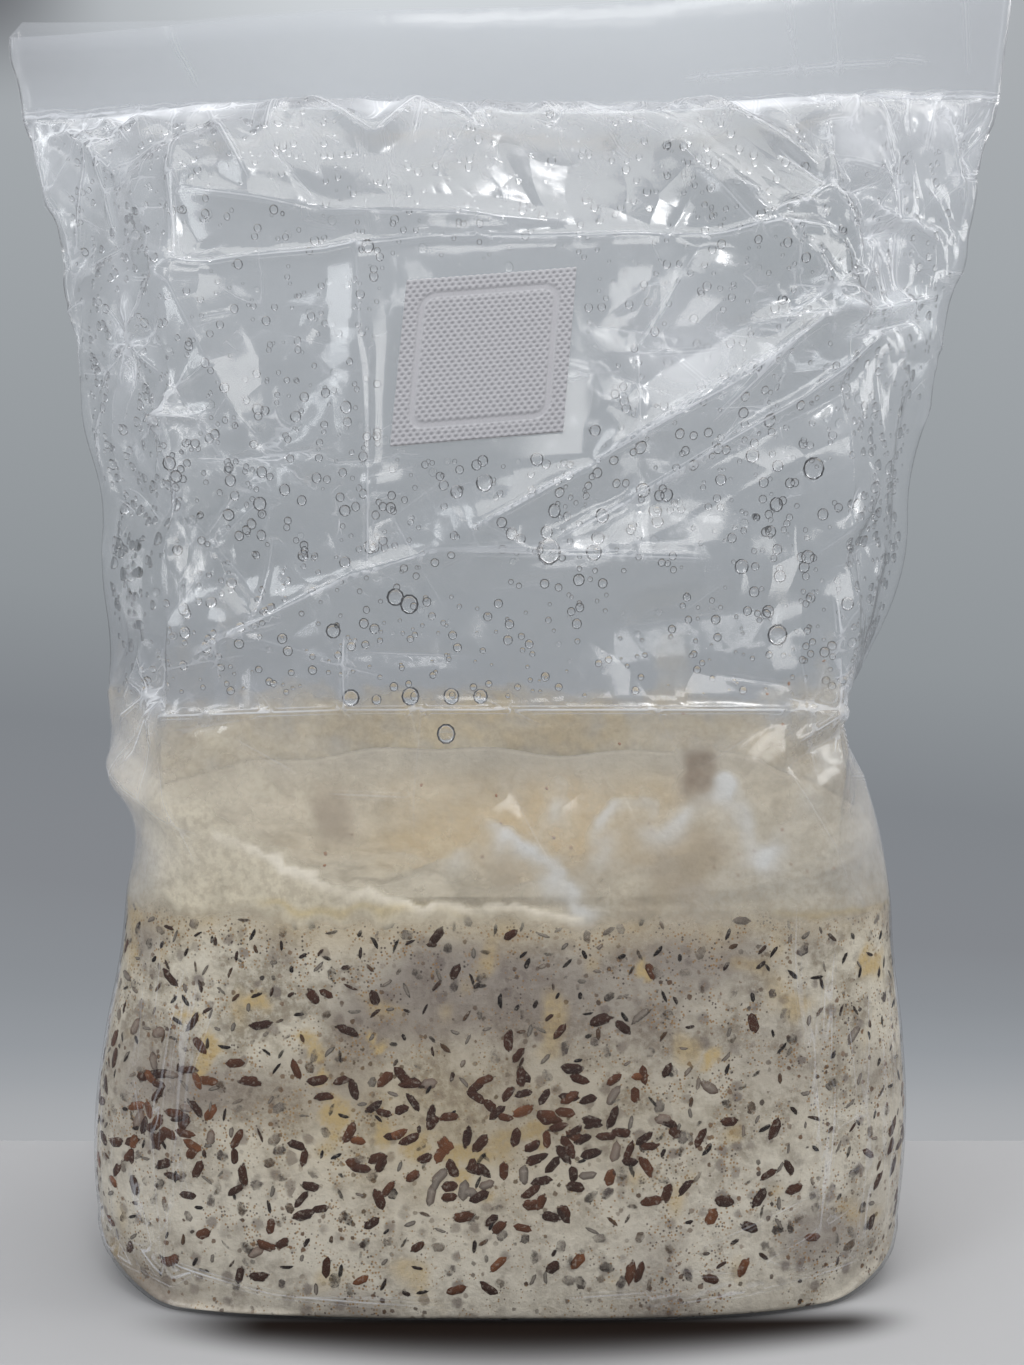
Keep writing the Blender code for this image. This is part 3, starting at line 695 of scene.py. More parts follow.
def film_point(across, up, inset=0.0):
    """A point of the film, inset from its outer face: the plain wall, the folds along its outward normal,
    then the slope, the wave and the lean of the mouth."""
    across, up = np.broadcast_arrays(np.asarray(across, float), np.asarray(up, float))
    normal = surface_ways(plain_wall, across, up, 0.0005)[2]
    point = plain_wall(across, up, inset) + read_map(fold_map, across, up)[..., None] * normal
    high = ease(up, WELD_HEIGHT - 0.12, WELD_HEIGHT)
    point[..., 2] += WELD_SLOPE * point[..., 0] * high
    point[..., 1] += high * 0.0025 * np.sin(point[..., 0] * 31 + 0.6)
    point[..., 1] -= FLAP_LEAN * ease(up, WELD_HEIGHT - 0.01, BAG_HEIGHT)
    return point


def ways_round(panel, gusset, back_gusset, back):
    """Across values once round the tube from the back's middle, with every crease on one of them."""
    crease = FRONT_PANEL / 2
    side = np.linspace(crease, FLAT_HALF, gusset + 1)[1:]
    behind = np.linspace(FLAT_HALF, 2 * FLAT_HALF - crease, back_gusset + 1)[1:]
    right = np.concatenate([side, behind, np.linspace(2 * FLAT_HALF - crease, ROUND_HALF, back + 1)[1:]])
    return np.concatenate([-right[::-1][1:], np.linspace(-crease, crease, panel + 1), right])


def bottom_rounding(across):
    """The radius of the bag's bottom edge, larger at its sides than at its front."""
    side = np.abs(rounded_section(across, np.full_like(across, 0.5 * BLOCK_HEIGHT), 0.0)[0]) / half_block
    return FRONT_ROUNDING + (SIDE_ROUNDING - FRONT_ROUNDING) * ease(side, 0.75, 1.0)


def tuck_rise(across, angle):
    """How far the film's folded corners stand out of the bottom edge, which angle runs down."""
    rise = 0 * across
    for middle, reach, height in TUCKS:
        rise = rise + height * np.clip(1 - np.abs(across - middle) / reach, 0.0, 1.0)
    return rise * math.sin(3 * angle)


def foot_rings(across, inset, turns):
    """Rings from the base's middle out to the rim that it stands on, then round the bottom edge."""
    half = np.array([half_block, BLOCK_DEPTH / 2])
    radius = bottom_rounding(across)
    wall = film_point(across, radius, inset)
    inward = unit_long(-np.sign(wall[..., :2]) * np.abs(wall[..., :2] / half) ** (BLOCK_POWER - 1) / half)
    edge = []
    for angle in np.linspace(math.pi / 2, 0.0, turns + 1)[:-1]:
        ring = wall.copy()
        shift = (radius - inset) * (1 - math.cos(angle)) - tuck_rise(across, angle)
        ring[..., :2] += inward * shift[..., None]
        ring[..., 2] = radius - (radius - inset) * math.sin(angle)
        edge.append(ring)
    base = []
    for band, height in ((3.4 * RIM_BAND, BASE_RECESS), (1.6 * RIM_BAND, BASE_RECESS), (RIM_BAND, 0.0)):
        ring = edge[0].copy()
        ring[..., :2] *= 1 - band / half
        ring[..., 2] = height + inset
        base.append(ring)
    return np.stack(base + edge)


def wall_rings(across, steps, inset):
    """Rings of the wall beside the block. The lowest follows the bottom edge, higher at the sides."""
    low = bottom_rounding(across)
    share = np.linspace(0.0, 1.0, steps + 1)[:, None]
    return film_point(across[None, :], low + share * (BLOCK_HEIGHT - low), inset)


def close_ring(ring, columns, across):
    """Quads straight across a ring from its front half to its back half, facing down."""
    crease = int(np.argmin(np.abs(across + FLAT_HALF)))
    i = np.arange(columns // 2)
    front, behind = (crease + i) % columns, (crease - i) % columns
    quads = np.stack([front, (crease + i + 1) % columns, (crease - i - 1) % columns, behind], axis=-1)
    quads = quads + ring * columns
    return quads[1:-1], quads[:1, :3], quads[-1:, [0, 1, 3]]


CREST_GAP = 0.0011
FACETS = ((30.0, 0.6, 0.40, 0.22, 4.0), (85.0, -0.5, 0.55, 0.16, 9.0))

film = Look("clear_film")
film_place = film.place()
film_along = film.node("VectorMath", {0: film_place, 1: (1.0, 1.7, 0.0)}, operation="DOT_PRODUCT")["Value"]
film_up = film.node("SeparateXYZ", {0: film_place})["Z"]
flat = film.node("CombineXYZ", {0: film_along, 1: film_up})[0]
drift = {"Vector": flat, "Scale": 16.0, "Detail": 1.0}
drift = film.node("TexNoise", drift, noise_dimensions="2D")["Color"]
bent = film.vectors("MULTIPLY_ADD", drift, (0.035, 0.035, 0.0), flat)
tilt = (0.0, 0.0, 0.0)
for scale, turn, stretch, lean, bulge in FACETS:
    turned = {"Vector": bent, "Rotation": (0.0, 0.0, turn), "Scale": (1.0, stretch, 1.0)}
    turned = film.node("Mapping", turned)[0]
    facet = film.node("TexVoronoi", {"Vector": turned, "Scale": scale}, voronoi_dimensions="2D", feature="F1")
    bulged = film.vectors("SUBTRACT", turned, facet["Position"])
    bulged = film.vectors("MULTIPLY_ADD", bulged, (bulge, bulge, 0.0), tilt)
    leaning = film.vectors("MULTIPLY_ADD", facet["Color"], (lean, lean, 0.0), (-lean / 2, -lean / 2, 0.0))
    tilt = film.vectors("ADD", bulged, leaning)
ripple = {"Vector": bent, "Scale": 170.0, "Detail": 2.0}
ripple = film.node("TexNoise", ripple, noise_dimensions="2D")["Color"]
tilt = film.vectors("MULTIPLY_ADD", ripple, (0.16, 0.16, 0.0), tilt)
tilt = film.vectors("SUBTRACT", tilt, (0.08, 0.08, 0.0))
tilt_parts = film.node("SeparateXYZ", {0: tilt})
sideways = film.times(tilt_parts["X"], 0.3)
tilt = film.node("CombineXYZ", {0: tilt_parts["X"], 1: sideways, 2: tilt_parts["Y"]})[0]
tilt = film.node("VectorMath", {0: tilt, "Scale": film.mark("crumple")}, operation="SCALE")[0]
film_normal = film.vectors("NORMALIZE", film.vectors("ADD", film.node("NewGeometry")["Normal"], tilt))
facing = film.node("LayerWeight", {"Blend": 0.5, "Normal": film_normal})["Facing"]
reflected = film.maths("MULTIPLY_ADD", film.maths("POWER", facing, 5.0), 0.9, film.mark("gloss"))
clear = film.node("BsdfTransparent", {"Color": (0.975, 0.98, 0.985, 1.0)})[0]
shine = film.node("BsdfGlossy", {"Roughness": 0.15, "Normal": film_normal})[0]
# Thin white strokes on and beside each crest, partly stress whitening and partly painted highlight, added to
# the milk.
crest = film.maths("ABSOLUTE", film.mark("side"))
beside = film.maths("ABSOLUTE", film.maths("SUBTRACT", crest, CREST_GAP))
beside = film.spread(beside, 0.00008, 0.0003, 1, 0)
crest_whitening_and_highlight = film.maths("MULTIPLY_ADD", beside, 0.5, film.spread(crest, 0.0001, 0.0004, 1, 0))
crest_whitening_and_highlight = film.times(crest_whitening_and_highlight, film.mark("white"))
haze = film.maths("MULTIPLY_ADD", crest_whitening_and_highlight, 0.6, film.mark("haze"), clamp=True)
milk = film.node("BsdfDiffuse", {"Color": shade(243, 245, 249)})[0]
film.finish(film.mix(haze, film.mix(reflected, clear, shine), milk))


def film_marks(across, up):
    """What the film's material reads at each point: how crumpled and glossy it is, where the crests run,
    and how white they are drawn, partly stress whitening and partly painted highlight.
    """
    across, up = np.broadcast_arrays(across, up)
    crumple = crumple_strength(across, up) * ease(up, 0.10, 0.16)
    crumple = crumple * (1 - 0.9 * ease(up, WELD_BOTTOM, WELD_HEIGHT))
    crumple = (crumple + 0.15) * (0.25 + 0.75 * read_map(off_the_patch, across, up))
    under_weld = np.exp(-(((up - WELD_BOTTOM + 0.003) / 0.006) ** 2))
    under_weld = under_weld * (0.7 + 0.6 * np.sin(across * 61) * np.sin(across * 143))
    above_block = 0.060 * ease(up, 0.115, 0.135) * (1 - 0.55 * ease(up, 0.335, 0.352))
    return {
        "crumple": crumple,
        "gloss": 0.022 + above_block + 0.15 * under_weld,
        "side": read_map(crest_side, across, up),
        "white": read_map(crest_white_and_highlight, across, up),
    }


tube_across = ways_round(200, 44, 14, 22)
columns = len(tube_across)
foot = foot_rings(tube_across, 0.0, 8)
wall = wall_rings(tube_across, 24, 0.0)
head_up = np.linspace(BLOCK_HEIGHT, WELD_BOTTOM, 241)[1:]
tube = np.concatenate([foot, wall, film_point(tube_across[None, :], head_up[:, None])])
tube_up = np.concatenate([foot[..., 2], wall[..., 2], np.repeat(head_up[:, None], columns, axis=1)])
tube_faces = [grid_faces(len(tube), columns, wrapped=True), *close_ring(0, columns, tube_across)]
pinched = ease(np.abs(tube_across)[None, :], 0.090, 0.120) * ease(tube_up, 0.112, 0.135)
pinched = pinched * (1 - ease(tube_up, 0.160, 0.195))
# The milk of the film rises above the block, towards the top and in its pinched sides; the spots below add
# painted highlight.
tube_haze = 0.006 + 0.055 * ease(tube_up, 0.112, 0.150) + 0.045 * ease(tube_up, 0.22, 0.35) + 0.16 * pinched
tube_haze = tube_haze + 0.07 * ease(tube_up, 0.335, 0.355) + satin_and_highlight(tube_across[None, :], tube_up)
tube_haze = np.clip(tube_haze, 0.0, 1.0)
marks = film_marks(tube_across[None, :], tube_up)
film_tube = make_piece("film_tube", tube, tube_faces, film, haze=tube_haze, **marks)
film_tube.visible_shadow = False
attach(film_tube, "root")
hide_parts("film_bag")

# The mouth: a weld band that holds the two layers together, and the loose flap of both above it. The
# mouth is cut a little askew, lower at the left, and its front layer ends below its back one.
MOUTH_SIDES = (-0.165, -0.105, -0.060, 0.000, 0.060, 0.120, 0.160)
FRONT_DROP = (0.0168, 0.0166, 0.0142, 0.0107, 0.0070, 0.0034, 0.0010)
BACK_DROP = (0.0116, 0.0133, 0.0112, 0.0090, 0.0056, 0.0020, 0.0000)

mouth_up = np.linspace(WELD_BOTTOM, BAG_HEIGHT, 31)
mouth = film_point(tube_across[None, :], mouth_up[:, None])
at_back = np.abs(tube_across) > FLAT_HALF
front_drop, back_drop = (np.interp(mouth[0, :, 0], MOUTH_SIDES, drop) for drop in (FRONT_DROP, BACK_DROP))
mouth_drop = np.where(at_back, back_drop, front_drop)
mouth[..., 2] -= mouth_drop * ease(mouth_up, WELD_HEIGHT, BAG_HEIGHT)[:, None]
mouth_haze = 0.08 + 0.12 * ease(mouth_up, WELD_BOTTOM, WELD_BOTTOM + 0.001)[:, None] + 0 * mouth[..., 0]
mouth_faces = [grid_faces(len(mouth), columns, wrapped=True)]
marks = film_marks(tube_across[None, :], mouth_up[:, None])
film_mouth = make_piece("film_mouth", mouth, mouth_faces, film, haze=mouth_haze, **marks)
film_mouth.visible_shadow = False
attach(film_mouth, "root")

# The filter patch: a square of embossed nonwoven polypropylene, welded over the vents by a rounded ring.
PATCH_THICKNESS = 0.0007
PATCH_GAP = 0.0004
RING_SIDE = 0.0420
RING_WIDTH = 0.0020
RING_DEPTH = 0.0004
RING_CORNER = 0.005
RING_EDGE = 0.0002
DIMPLE_WIDE = 0.00208
DIMPLE_TALL = 0.00134
DIMPLE_DEPTH = 0.00034
PATCH_CELLS = 156

nonwoven = Look("filter_nonwoven")
fibres = nonwoven.noise(nonwoven.place(), 2600.0, 4.0)
fibre_bump = nonwoven.node("Bump", {"Height": fibres, "Strength": 0.35, "Distance": 0.0002})[0]
cloth = nonwoven.blend(fibres, shade(184, 183, 186), shade(210, 209, 212))
cloth = nonwoven.blend(nonwoven.mark("pressed"), cloth, shade(132, 131, 135))
felt = {"Base Color": cloth, "Roughness": 0.75, "Normal": fibre_bump}
nonwoven.finish(nonwoven.node("BsdfPrincipled", felt)[0])

line = np.linspace(-PATCH_SIDE / 2, PATCH_SIDE / 2, PATCH_CELLS + 1)
wide, tall = np.meshgrid(line, line)
patch_across = PATCH_ACROSS + wide + PATCH_SLANT * tall
patch_up = PATCH_HEIGHT + tall + PATCH_SLANT * wide
row_number = np.round(tall / DIMPLE_TALL)
shifted = wide / DIMPLE_WIDE + 0.5 * (row_number % 2)
shifted = shifted - np.round(shifted)
dimple = np.exp(-((shifted / 0.30) ** 2) - ((tall / DIMPLE_TALL - row_number) / 0.34) ** 2)
corner = np.maximum(np.abs(wide) - RING_SIDE / 2 + RING_CORNER, 0)
corner = np.hypot(corner, np.maximum(np.abs(tall) - RING_SIDE / 2 + RING_CORNER, 0)) - RING_CORNER
flush = np.minimum(RING_SIDE / 2 - np.abs(wide), RING_SIDE / 2 - np.abs(tall))
inside_ring = np.where(corner > -RING_CORNER + 1e-9, -corner, flush)
ring_band = ease(inside_ring, -RING_EDGE, RING_EDGE)
ring_band = ring_band * (1 - ease(inside_ring, RING_WIDTH - RING_EDGE, RING_WIDTH + RING_EDGE))
sunk = DIMPLE_DEPTH * dimple * (1 - ring_band) + RING_DEPTH * ring_band
patch_front = film_point(patch_across, patch_up, 0.0)
patch_front[..., 1] -= PATCH_GAP + PATCH_THICKNESS - sunk
patch_back = film_point(patch_across, patch_up, 0.0)
patch_back[..., 1] -= PATCH_GAP
count = PATCH_CELLS + 1
layer = np.arange(count * count).reshape(count, count)
rim = np.concatenate([layer[0], layer[1:, -1], layer[-1, -2::-1], layer[-2:0:-1, 0]])
after = np.roll(rim, -1)
patch_faces = [
    grid_faces(count, count),
    grid_faces(count, count, start=count * count)[:, ::-1],
    np.stack([rim, rim + count * count, after + count * count, after], axis=-1),
]
pressed = 0.80 * dimple * (1 - ring_band) + 0.12 * ring_band
pressed = np.stack([pressed, 0 * pressed])
patch_layers = np.stack([patch_front, patch_back])
filter_patch = make_piece("nonwoven_patch", patch_layers, patch_faces, nonwoven, pressed=pressed)
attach(filter_patch, "root")
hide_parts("filter_patch")

# The block: boiled grain that mycelium has grown through and bound, as wide as the film lets it be, with
# a cottony top and a skin that has climbed the film, highest at the back.
BLOCK_BACK_HEIGHT = 0.158
CLIMB_FRONT = 0.004
BLOCK_MIDDLE_HEIGHT = 0.124
BLOCK_LUMP = 0.0035
CLEARANCE = 0.0004
CLIMB_GAP = 0.0012
BLOCK_INSET = WALL + CLEARANCE


def cloud(points, cell, seed):
    """A soft random field from -1 to 1: random values at the corners of cubes, eased between them."""
    size = 32
    table = np.random.default_rng(seed).uniform(-1, 1, (size, size, size))
    place = np.asarray(points) / cell + 100.0
    corner = np.floor(place).astype(int)
    part = place - corner
    part = part * part * (3 - 2 * part)
    total = 0.0
    for step in np.ndindex(2, 2, 2):
        at = (corner + step) % size
        weight = np.prod(np.abs(1 - np.array(step) - part), axis=-1)
        total = total + weight * table[at[..., 0], at[..., 1], at[..., 2]]
    return total


def spot(points, middle, reach, facing=-1):
    """A soft spot on the front (or the back, for facing 1): 1 at its middle (x, z), a bell over reach."""
    gap = ((points[..., 0] - middle[0]) / reach[0]) ** 2 + ((points[..., 2] - middle[1]) / reach[1]) ** 2
    return np.exp(-gap) * ease(facing * points[..., 1], -0.005, 0.02)


def block_rim(across):
    """How high the skin has climbed the film, lowest at the front."""
    behind = ease(np.abs(across) / ROUND_HALF, 0.10, 0.85)
    wavy = 0.4 * BLOCK_LUMP * (np.sin(across * 57) + 0.6 * np.sin(across * 133 + 1.0))
    climb = CLIMB_FRONT + (BLOCK_BACK_HEIGHT - BLOCK_HEIGHT - CLIMB_FRONT) * behind
    return BLOCK_HEIGHT + climb + wavy * behind


block_across = ways_round(150, 48, 46, 75)
block_columns = len(block_across)
climb = np.linspace(0.0, 1.0, 17)[1:, None]
rim_up = block_rim(block_across)
climb_up = BLOCK_HEIGHT + climb * (rim_up - BLOCK_HEIGHT)
climbed = film_point(block_across[None, :], climb_up, BLOCK_INSET + CLIMB_GAP * ease(climb, 0.0, 0.4))
share = np.linspace(1.0, 0.02, 58)[1:, None, None]
top = np.repeat(climbed[-1][None], len(share), axis=0)
top[..., :2] *= share
lumps = np.sin(top[..., 0] * 88 + 0.4) * np.sin(top[..., 1] * 105 + 1.3)
lumps = lumps + 0.6 * np.sin(top[..., 0] * 171 - top[..., 1] * 96 + 2.0)
share = share[..., 0]
top[..., 2] = BLOCK_MIDDLE_HEIGHT + (climbed[-1][None, :, 2] - BLOCK_MIDDLE_HEIGHT) * share**3
top[..., 2] += BLOCK_LUMP * (0.75 - 0.55 * ease(top[..., 1], -0.03, 0.03)) * lumps * (1 - share**6)
cotton = 0.6 * np.abs(cloud(top, 0.011, 3)) + 0.3 * np.abs(cloud(top, 0.0052, 4))
cotton = cotton + 0.15 * cloud(top, 0.0024, 5)
top[..., 2] += 0.0030 * cotton * (1 - share**8)
block = np.concatenate([
    foot_rings(block_across, BLOCK_INSET, 8),
    wall_rings(block_across, 84, BLOCK_INSET),
    climbed,
    top,
])
block_faces = [grid_faces(len(block), block_columns, wrapped=True)]
block_faces += close_ring(0, block_columns, block_across)
block_faces += [some[:, ::-1] for some in close_ring(len(block) - 1, block_columns, block_across)]

on_top = ease(block[..., 2], 0.112, 0.122)
near_top = ease(block[..., 2] + 0.005 * cloud(block, 0.012, 18), 0.102, 0.118) * (1 - on_top)
AMBER_POOLS = (
    ((-0.0566, 0.0802), (0.0038, 0.0052)),
    ((-0.0550, 0.0710), (0.0022, 0.0036)),
    ((-0.0880, 0.0759), (0.0042, 0.0080)),
    ((-0.0950, 0.0860), (0.0050, 0.0040)),
    ((-0.0720, 0.0900), (0.0050, 0.0030)),
    ((-0.0370, 0.0810), (0.0030, 0.0026)),
    ((-0.0500, 0.0600), (0.0040, 0.0070)),
    ((-0.0360, 0.0560), (0.0034, 0.0046)),
    ((-0.0240, 0.0510), (0.0050, 0.0050)),
    ((-0.0120, 0.0470), (0.0060, 0.0034)),
    ((0.0080, 0.0540), (0.0050, 0.0032)),
    ((0.0400, 0.1000), (0.0024, 0.0044)),
    ((0.0600, 0.0760), (0.0030, 0.0026)),
    ((0.1080, 0.1000), (0.0060, 0.0050)),
)
MAUVE_PATCHES = (
    ((-0.016, 0.099), (0.024, 0.014), 1.0),
    ((-0.106, 0.064), (0.018, 0.020), 1.0),
    ((0.056, 0.107), (0.022, 0.010), 1.0),
    ((0.014, 0.092), (0.050, 0.022), 0.9),
    ((0.082, 0.074), (0.022, 0.016), 0.5),
)
BROWN_PATCHES = (((-0.112, 0.010), (0.024, 0.009), 0.6), ((0.008, 0.058), (0.042, 0.015), 0.38))
wobble = np.zeros_like(block)
for axis, coarse, fine in ((0, 31, 33), (2, 32, 34)):
    wobble[..., axis] = 0.0035 * cloud(block, 0.006, coarse) + 0.0015 * cloud(block, 0.0025, fine)
amber = sum(ease(spot(block + wobble, middle, reach), 0.30, 0.75) for middle, reach in AMBER_POOLS)
amber = amber + 0.35 * spot(block + wobble, (-0.020, 0.055), (0.050, 0.024))
patchy = cloud(block, 0.013, 11) + 0.6 * cloud(block, 0.006, 12)
amber = np.clip(amber + 0.6 * ease(patchy, 0.6, 1.1) * (1 - on_top), 0, 1)
mauve = sum(amount * spot(block, middle, reach) for middle, reach, amount in MAUVE_PATCHES)
mauve = np.clip(0.9 * mauve + 0.8 * ease(cloud(block, 0.022, 14), 0.0, 0.9), 0, 1) * (1 - on_top)
low_down = 1 - ease(block[..., 2], 0.030, 0.070)
brown_patch = sum(amount * spot(block, middle, reach) for middle, reach, amount in BROWN_PATCHES)
yellow_top = on_top * ease(block[..., 1], -0.045, 0.010) * np.exp(-(((block[..., 0] - 0.006) / 0.062) ** 2))
yellow_top = np.clip(yellow_top * (1 + 0.5 * cloud(block, 0.018, 17)), 0, 1)
# A painted shade: the top is darkened towards its back rim, where the light from above would make the rim
# stand out against the skin above it.
painted_rim_shade = on_top * ease(block[..., 2], 0.140, 0.157) * ease(block[..., 1], 0.0, 0.04)
block_marks = {
    "amber": amber, "mauve": mauve, "pale": low_down, "top_mask": on_top, "near_top": near_top,
    "yellow": yellow_top, "rim": painted_rim_shade, "brown": brown_patch,
}

mat = Look("grain_and_mycelium")
mat_place = mat.place()
fluff = mat.noise(mat_place, 480.0, 4.0, 0.65)
soft = mat.noise(mat_place, 85.0, 3.0, 0.6)
field = {label: mat.mark(label) for label in block_marks}
side_share = mat.maths("SUBTRACT", 1.0, field["top_mask"])


def cells(scale):
    """Random cells: how far each point lies from its cell's middle, and two random values of the cell."""
    cell = mat.node("TexVoronoi", {"Vector": mat_place, "Scale": scale}, feature="F1")
    kind = mat.node("SeparateColor", {0: cell["Color"]})
    return cell["Distance"], kind[0], kind[1]


from_blob, blob_kind, _ = cells(210.0)
blob = mat.spread(mat.maths("MULTIPLY_ADD", fluff, 0.35, from_blob), 0.42, 0.66, 1.0, 0.0)
blob = mat.times(mat.times(blob, mat.spread(blob_kind, 0.45, 1.0, 0.0, 0.75)), side_share)
from_crumb, crumb_kind, crumb_shade = cells(340.0)
crumb = mat.spread(mat.maths("MULTIPLY_ADD", fluff, 0.55, from_crumb), 0.47, 0.56, 1.0, 0.0)
crumb = mat.times(crumb, mat.spread(crumb_kind, 0.50, 0.62))
crumb = mat.times(crumb, mat.spread(mat.noise(mat_place, 60.0, 2.0), 0.38, 0.60, 0.25, 0.95))
crumb = mat.times(crumb, side_share)
from_dot, dot_kind, dot_share = cells(1050.0)
clumps = mat.maths("MULTIPLY_ADD", field["near_top"], 0.12, mat.noise(mat_place, 95.0, 2.0))
dotted = mat.times(mat.spread(from_dot, 0.26, 0.42, 1.0, 0.0), mat.spread(clumps, 0.42, 0.56))
dotted = mat.times(dotted, mat.spread(dot_share, 0.3, 0.4, 0.0, 0.85))
dotted = mat.times(dotted, mat.spread(field["top_mask"], 0.0, 1.0, 1.0, 0.2))
# The top is painted darker than the sides, a painted shade that evens out the stronger light it gets from
# above; its yellow middle is its own colour.
top_tone = mat.blend(mat.spread(soft, 0.35, 0.65), shade(146, 138, 121), shade(175, 166, 148))
top_tone = mat.blend(field["yellow"], top_tone, shade(172, 147, 99))
# The painted rim shade, darker towards the top's back rim.
top_tone = mat.blend(field["rim"], top_tone, shade(158, 150, 134))
white = mat.blend(mat.spread(soft, 0.34, 0.62), shade(156, 144, 123), shade(215, 205, 184))
for share, tone in (
    (mat.times(mat.spread(fluff, 0.40, 0.68), 0.55), shade(232, 224, 205)),
    (mat.times(field["pale"], 0.40), shade(210, 202, 188)),
    (mat.times(field["mauve"], 0.74), shade(122, 110, 103)),
    (blob, shade(118, 106, 98)),
    (crumb, mat.blend(crumb_shade, shade(44, 32, 27), shade(120, 84, 52))),
    (mat.times(field["near_top"], 0.70), shade(200, 182, 150)),
    (dotted, mat.blend(mat.spread(dot_kind, 0.62, 0.70), shade(150, 112, 58), shade(62, 44, 36))),
    (mat.times(field["amber"], mat.spread(fluff, 0.30, 0.6, 0.50, 0.95)), shade(199, 172, 118)),
    (mat.times(field["top_mask"], 0.9), top_tone),
    (mat.times(field["brown"], 0.85), shade(112, 97, 80)),
):
    white = mat.blend(share, white, tone)
mat_bump = mat.node("Bump", {"Height": fluff, "Strength": 0.6, "Distance": 0.0008})[0]
mat.finish(mat.node("BsdfPrincipled", {"Base Color": white, "Roughness": 0.72, "Normal": mat_bump})[0])
grain_block = make_piece("grown_block", block, block_faces, mat, **block_marks)
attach(grain_block, "root")
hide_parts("grain_block")

# The grains that show: kernels and thin slivers of the same millet-like grain, bedded in the block's side
# just under the film. Dark ones lie bare, and blurred ones lie under a veil of mycelium.
GRAIN_PITCH = 0.0060
GRAIN_FILL = 0.92
SPECK_COUNT = 34
CLUSTERS = ((0.006, 0.054, 0.036, 0.013, 74), (-0.112, 0.055, 0.012, 0.009, 30))
GRAIN_ROUND = 8
GRAIN_STATIONS = (-0.75, -0.28, 0.28, 0.75)


def random_between(chance, low, high, count):
    """Random values between two limits."""
    return low + (high - low) * chance.uniform(0, 1, count)


def unit_shape(rings, columns, tips):
    """The points of a closed shape: a tip, rings of (along, wide, deep) round it, and the other tip."""
    turns = np.linspace(0, 2 * math.pi, columns, endpoint=False)
    ringed = [(along, wide * math.cos(a), deep * math.sin(a)) for along, wide, deep in rings for a in turns]
    return np.array([tips[0]] + ringed + [tips[1]])


def shape_faces(count, rings, columns, turned_over=False):
    """The faces of many such shapes, whose points are counted one shape after another."""
    k = np.arange(columns)
    after = (k + 1) % columns
    last = rings * columns + 1
    first_cap = np.stack([0 * k, 1 + after, 1 + k], axis=-1)
    last_cap = np.stack([0 * k + last, last - columns + k, last - columns + after], axis=-1)
    caps = np.concatenate([first_cap, last_cap])
    bands = grid_faces(rings, columns, wrapped=True, start=1)
    if turned_over:
        caps, bands = caps[:, [0, 2, 1]], bands[:, ::-1]
    starts = (np.arange(count) * (last + 1))[:, None, None]
    return [(starts + caps).reshape(-1, 3), (starts + bands).reshape(-1, 4)]


def lay_out(middles, *lengths_and_ways):
    """The points of many shapes, each point at its own lengths along its shape's ways from its middle."""
    points = middles[:, None, :]
    for lengths, way in lengths_and_ways:
        points = points + lengths[..., None] * way[:, None, :]
    return points


grain_chance = np.random.default_rng(77)
grid_across = np.arange(-ROUND_HALF, ROUND_HALF - GRAIN_PITCH / 2, GRAIN_PITCH)
grid_across, grid_up = np.meshgrid(grid_across, np.arange(0.011, BLOCK_HEIGHT, GRAIN_PITCH))
sparse = ease(grid_across, 0.030, 0.060) * (1 - ease(grid_across, 0.110, 0.150))
kept = grain_chance.uniform(0, 1, grid_up.shape) < GRAIN_FILL * (1 - 0.32 * sparse)
grain_across = (grid_across + 0.46 * GRAIN_PITCH * grain_chance.uniform(-1, 1, grid_up.shape))[kept]
grain_up = (grid_up + 0.46 * GRAIN_PITCH * grain_chance.uniform(-1, 1, grid_up.shape))[kept]
grain_across = np.concatenate([grain_across, grain_chance.uniform(-0.075, 0.118, SPECK_COUNT)])
grain_up = np.concatenate([grain_up, 0.128 + 0.065 * grain_chance.uniform(0, 1, SPECK_COUNT) ** 1.5])
for cluster_across, cluster_up, wide_reach, tall_reach, extra in CLUSTERS:
    more_across = grain_chance.normal(cluster_across, wide_reach, extra)
    more_up = grain_chance.normal(cluster_up, tall_reach, extra).clip(0.012, 0.110)
    grain_across = np.concatenate([grain_across, more_across])
    grain_up = np.concatenate([grain_up, more_up])
grain_count = len(grain_up)
speck = grain_up > BLOCK_HEIGHT + 0.004
at = film_point(grain_across, grain_up, BLOCK_INSET)
round_way, _, outward = surface_ways(plain_wall, grain_across, grain_up, 0.0008)
round_way = unit_long(round_way)
up_way = np.cross(outward, round_way)
bare_here = 1.3 * spot(at, (0.000, 0.052), (0.048, 0.019)) + 1.1 * spot(at, (-0.101, 0.057), (0.020, 0.015))
bare_sides = 0.8 * ease(cloud(at, 0.03, 13), 0.3, 0.9) * (np.abs(grain_across) > 0.12)
bare_here = np.clip(bare_here + bare_sides, 0, 1)
grain_low = 1 - ease(grain_up, 0.030, 0.062)
kind = grain_chance.uniform(0, 1, grain_count)
kernel_share = 0.07 + 0.80 * bare_here + 0.14 * grain_low
ghost_share = (1 - kernel_share) * (0.16 + 0.34 * grain_low + 0.25 * ease(cloud(at, 0.022, 14), 0.0, 0.8))
kernel = (kind < kernel_share) & ~speck
ghost = ~kernel & ~speck & (kind < kernel_share + ghost_share)


def pick(kernels, ghosts, slivers):
    """A random size for each grain, between the two limits of its own kind."""
    low, high = (np.where(kernel, kernels[k], np.where(ghost, ghosts[k], slivers[k])) for k in (0, 1))
    return random_between(grain_chance, low, high, grain_count)


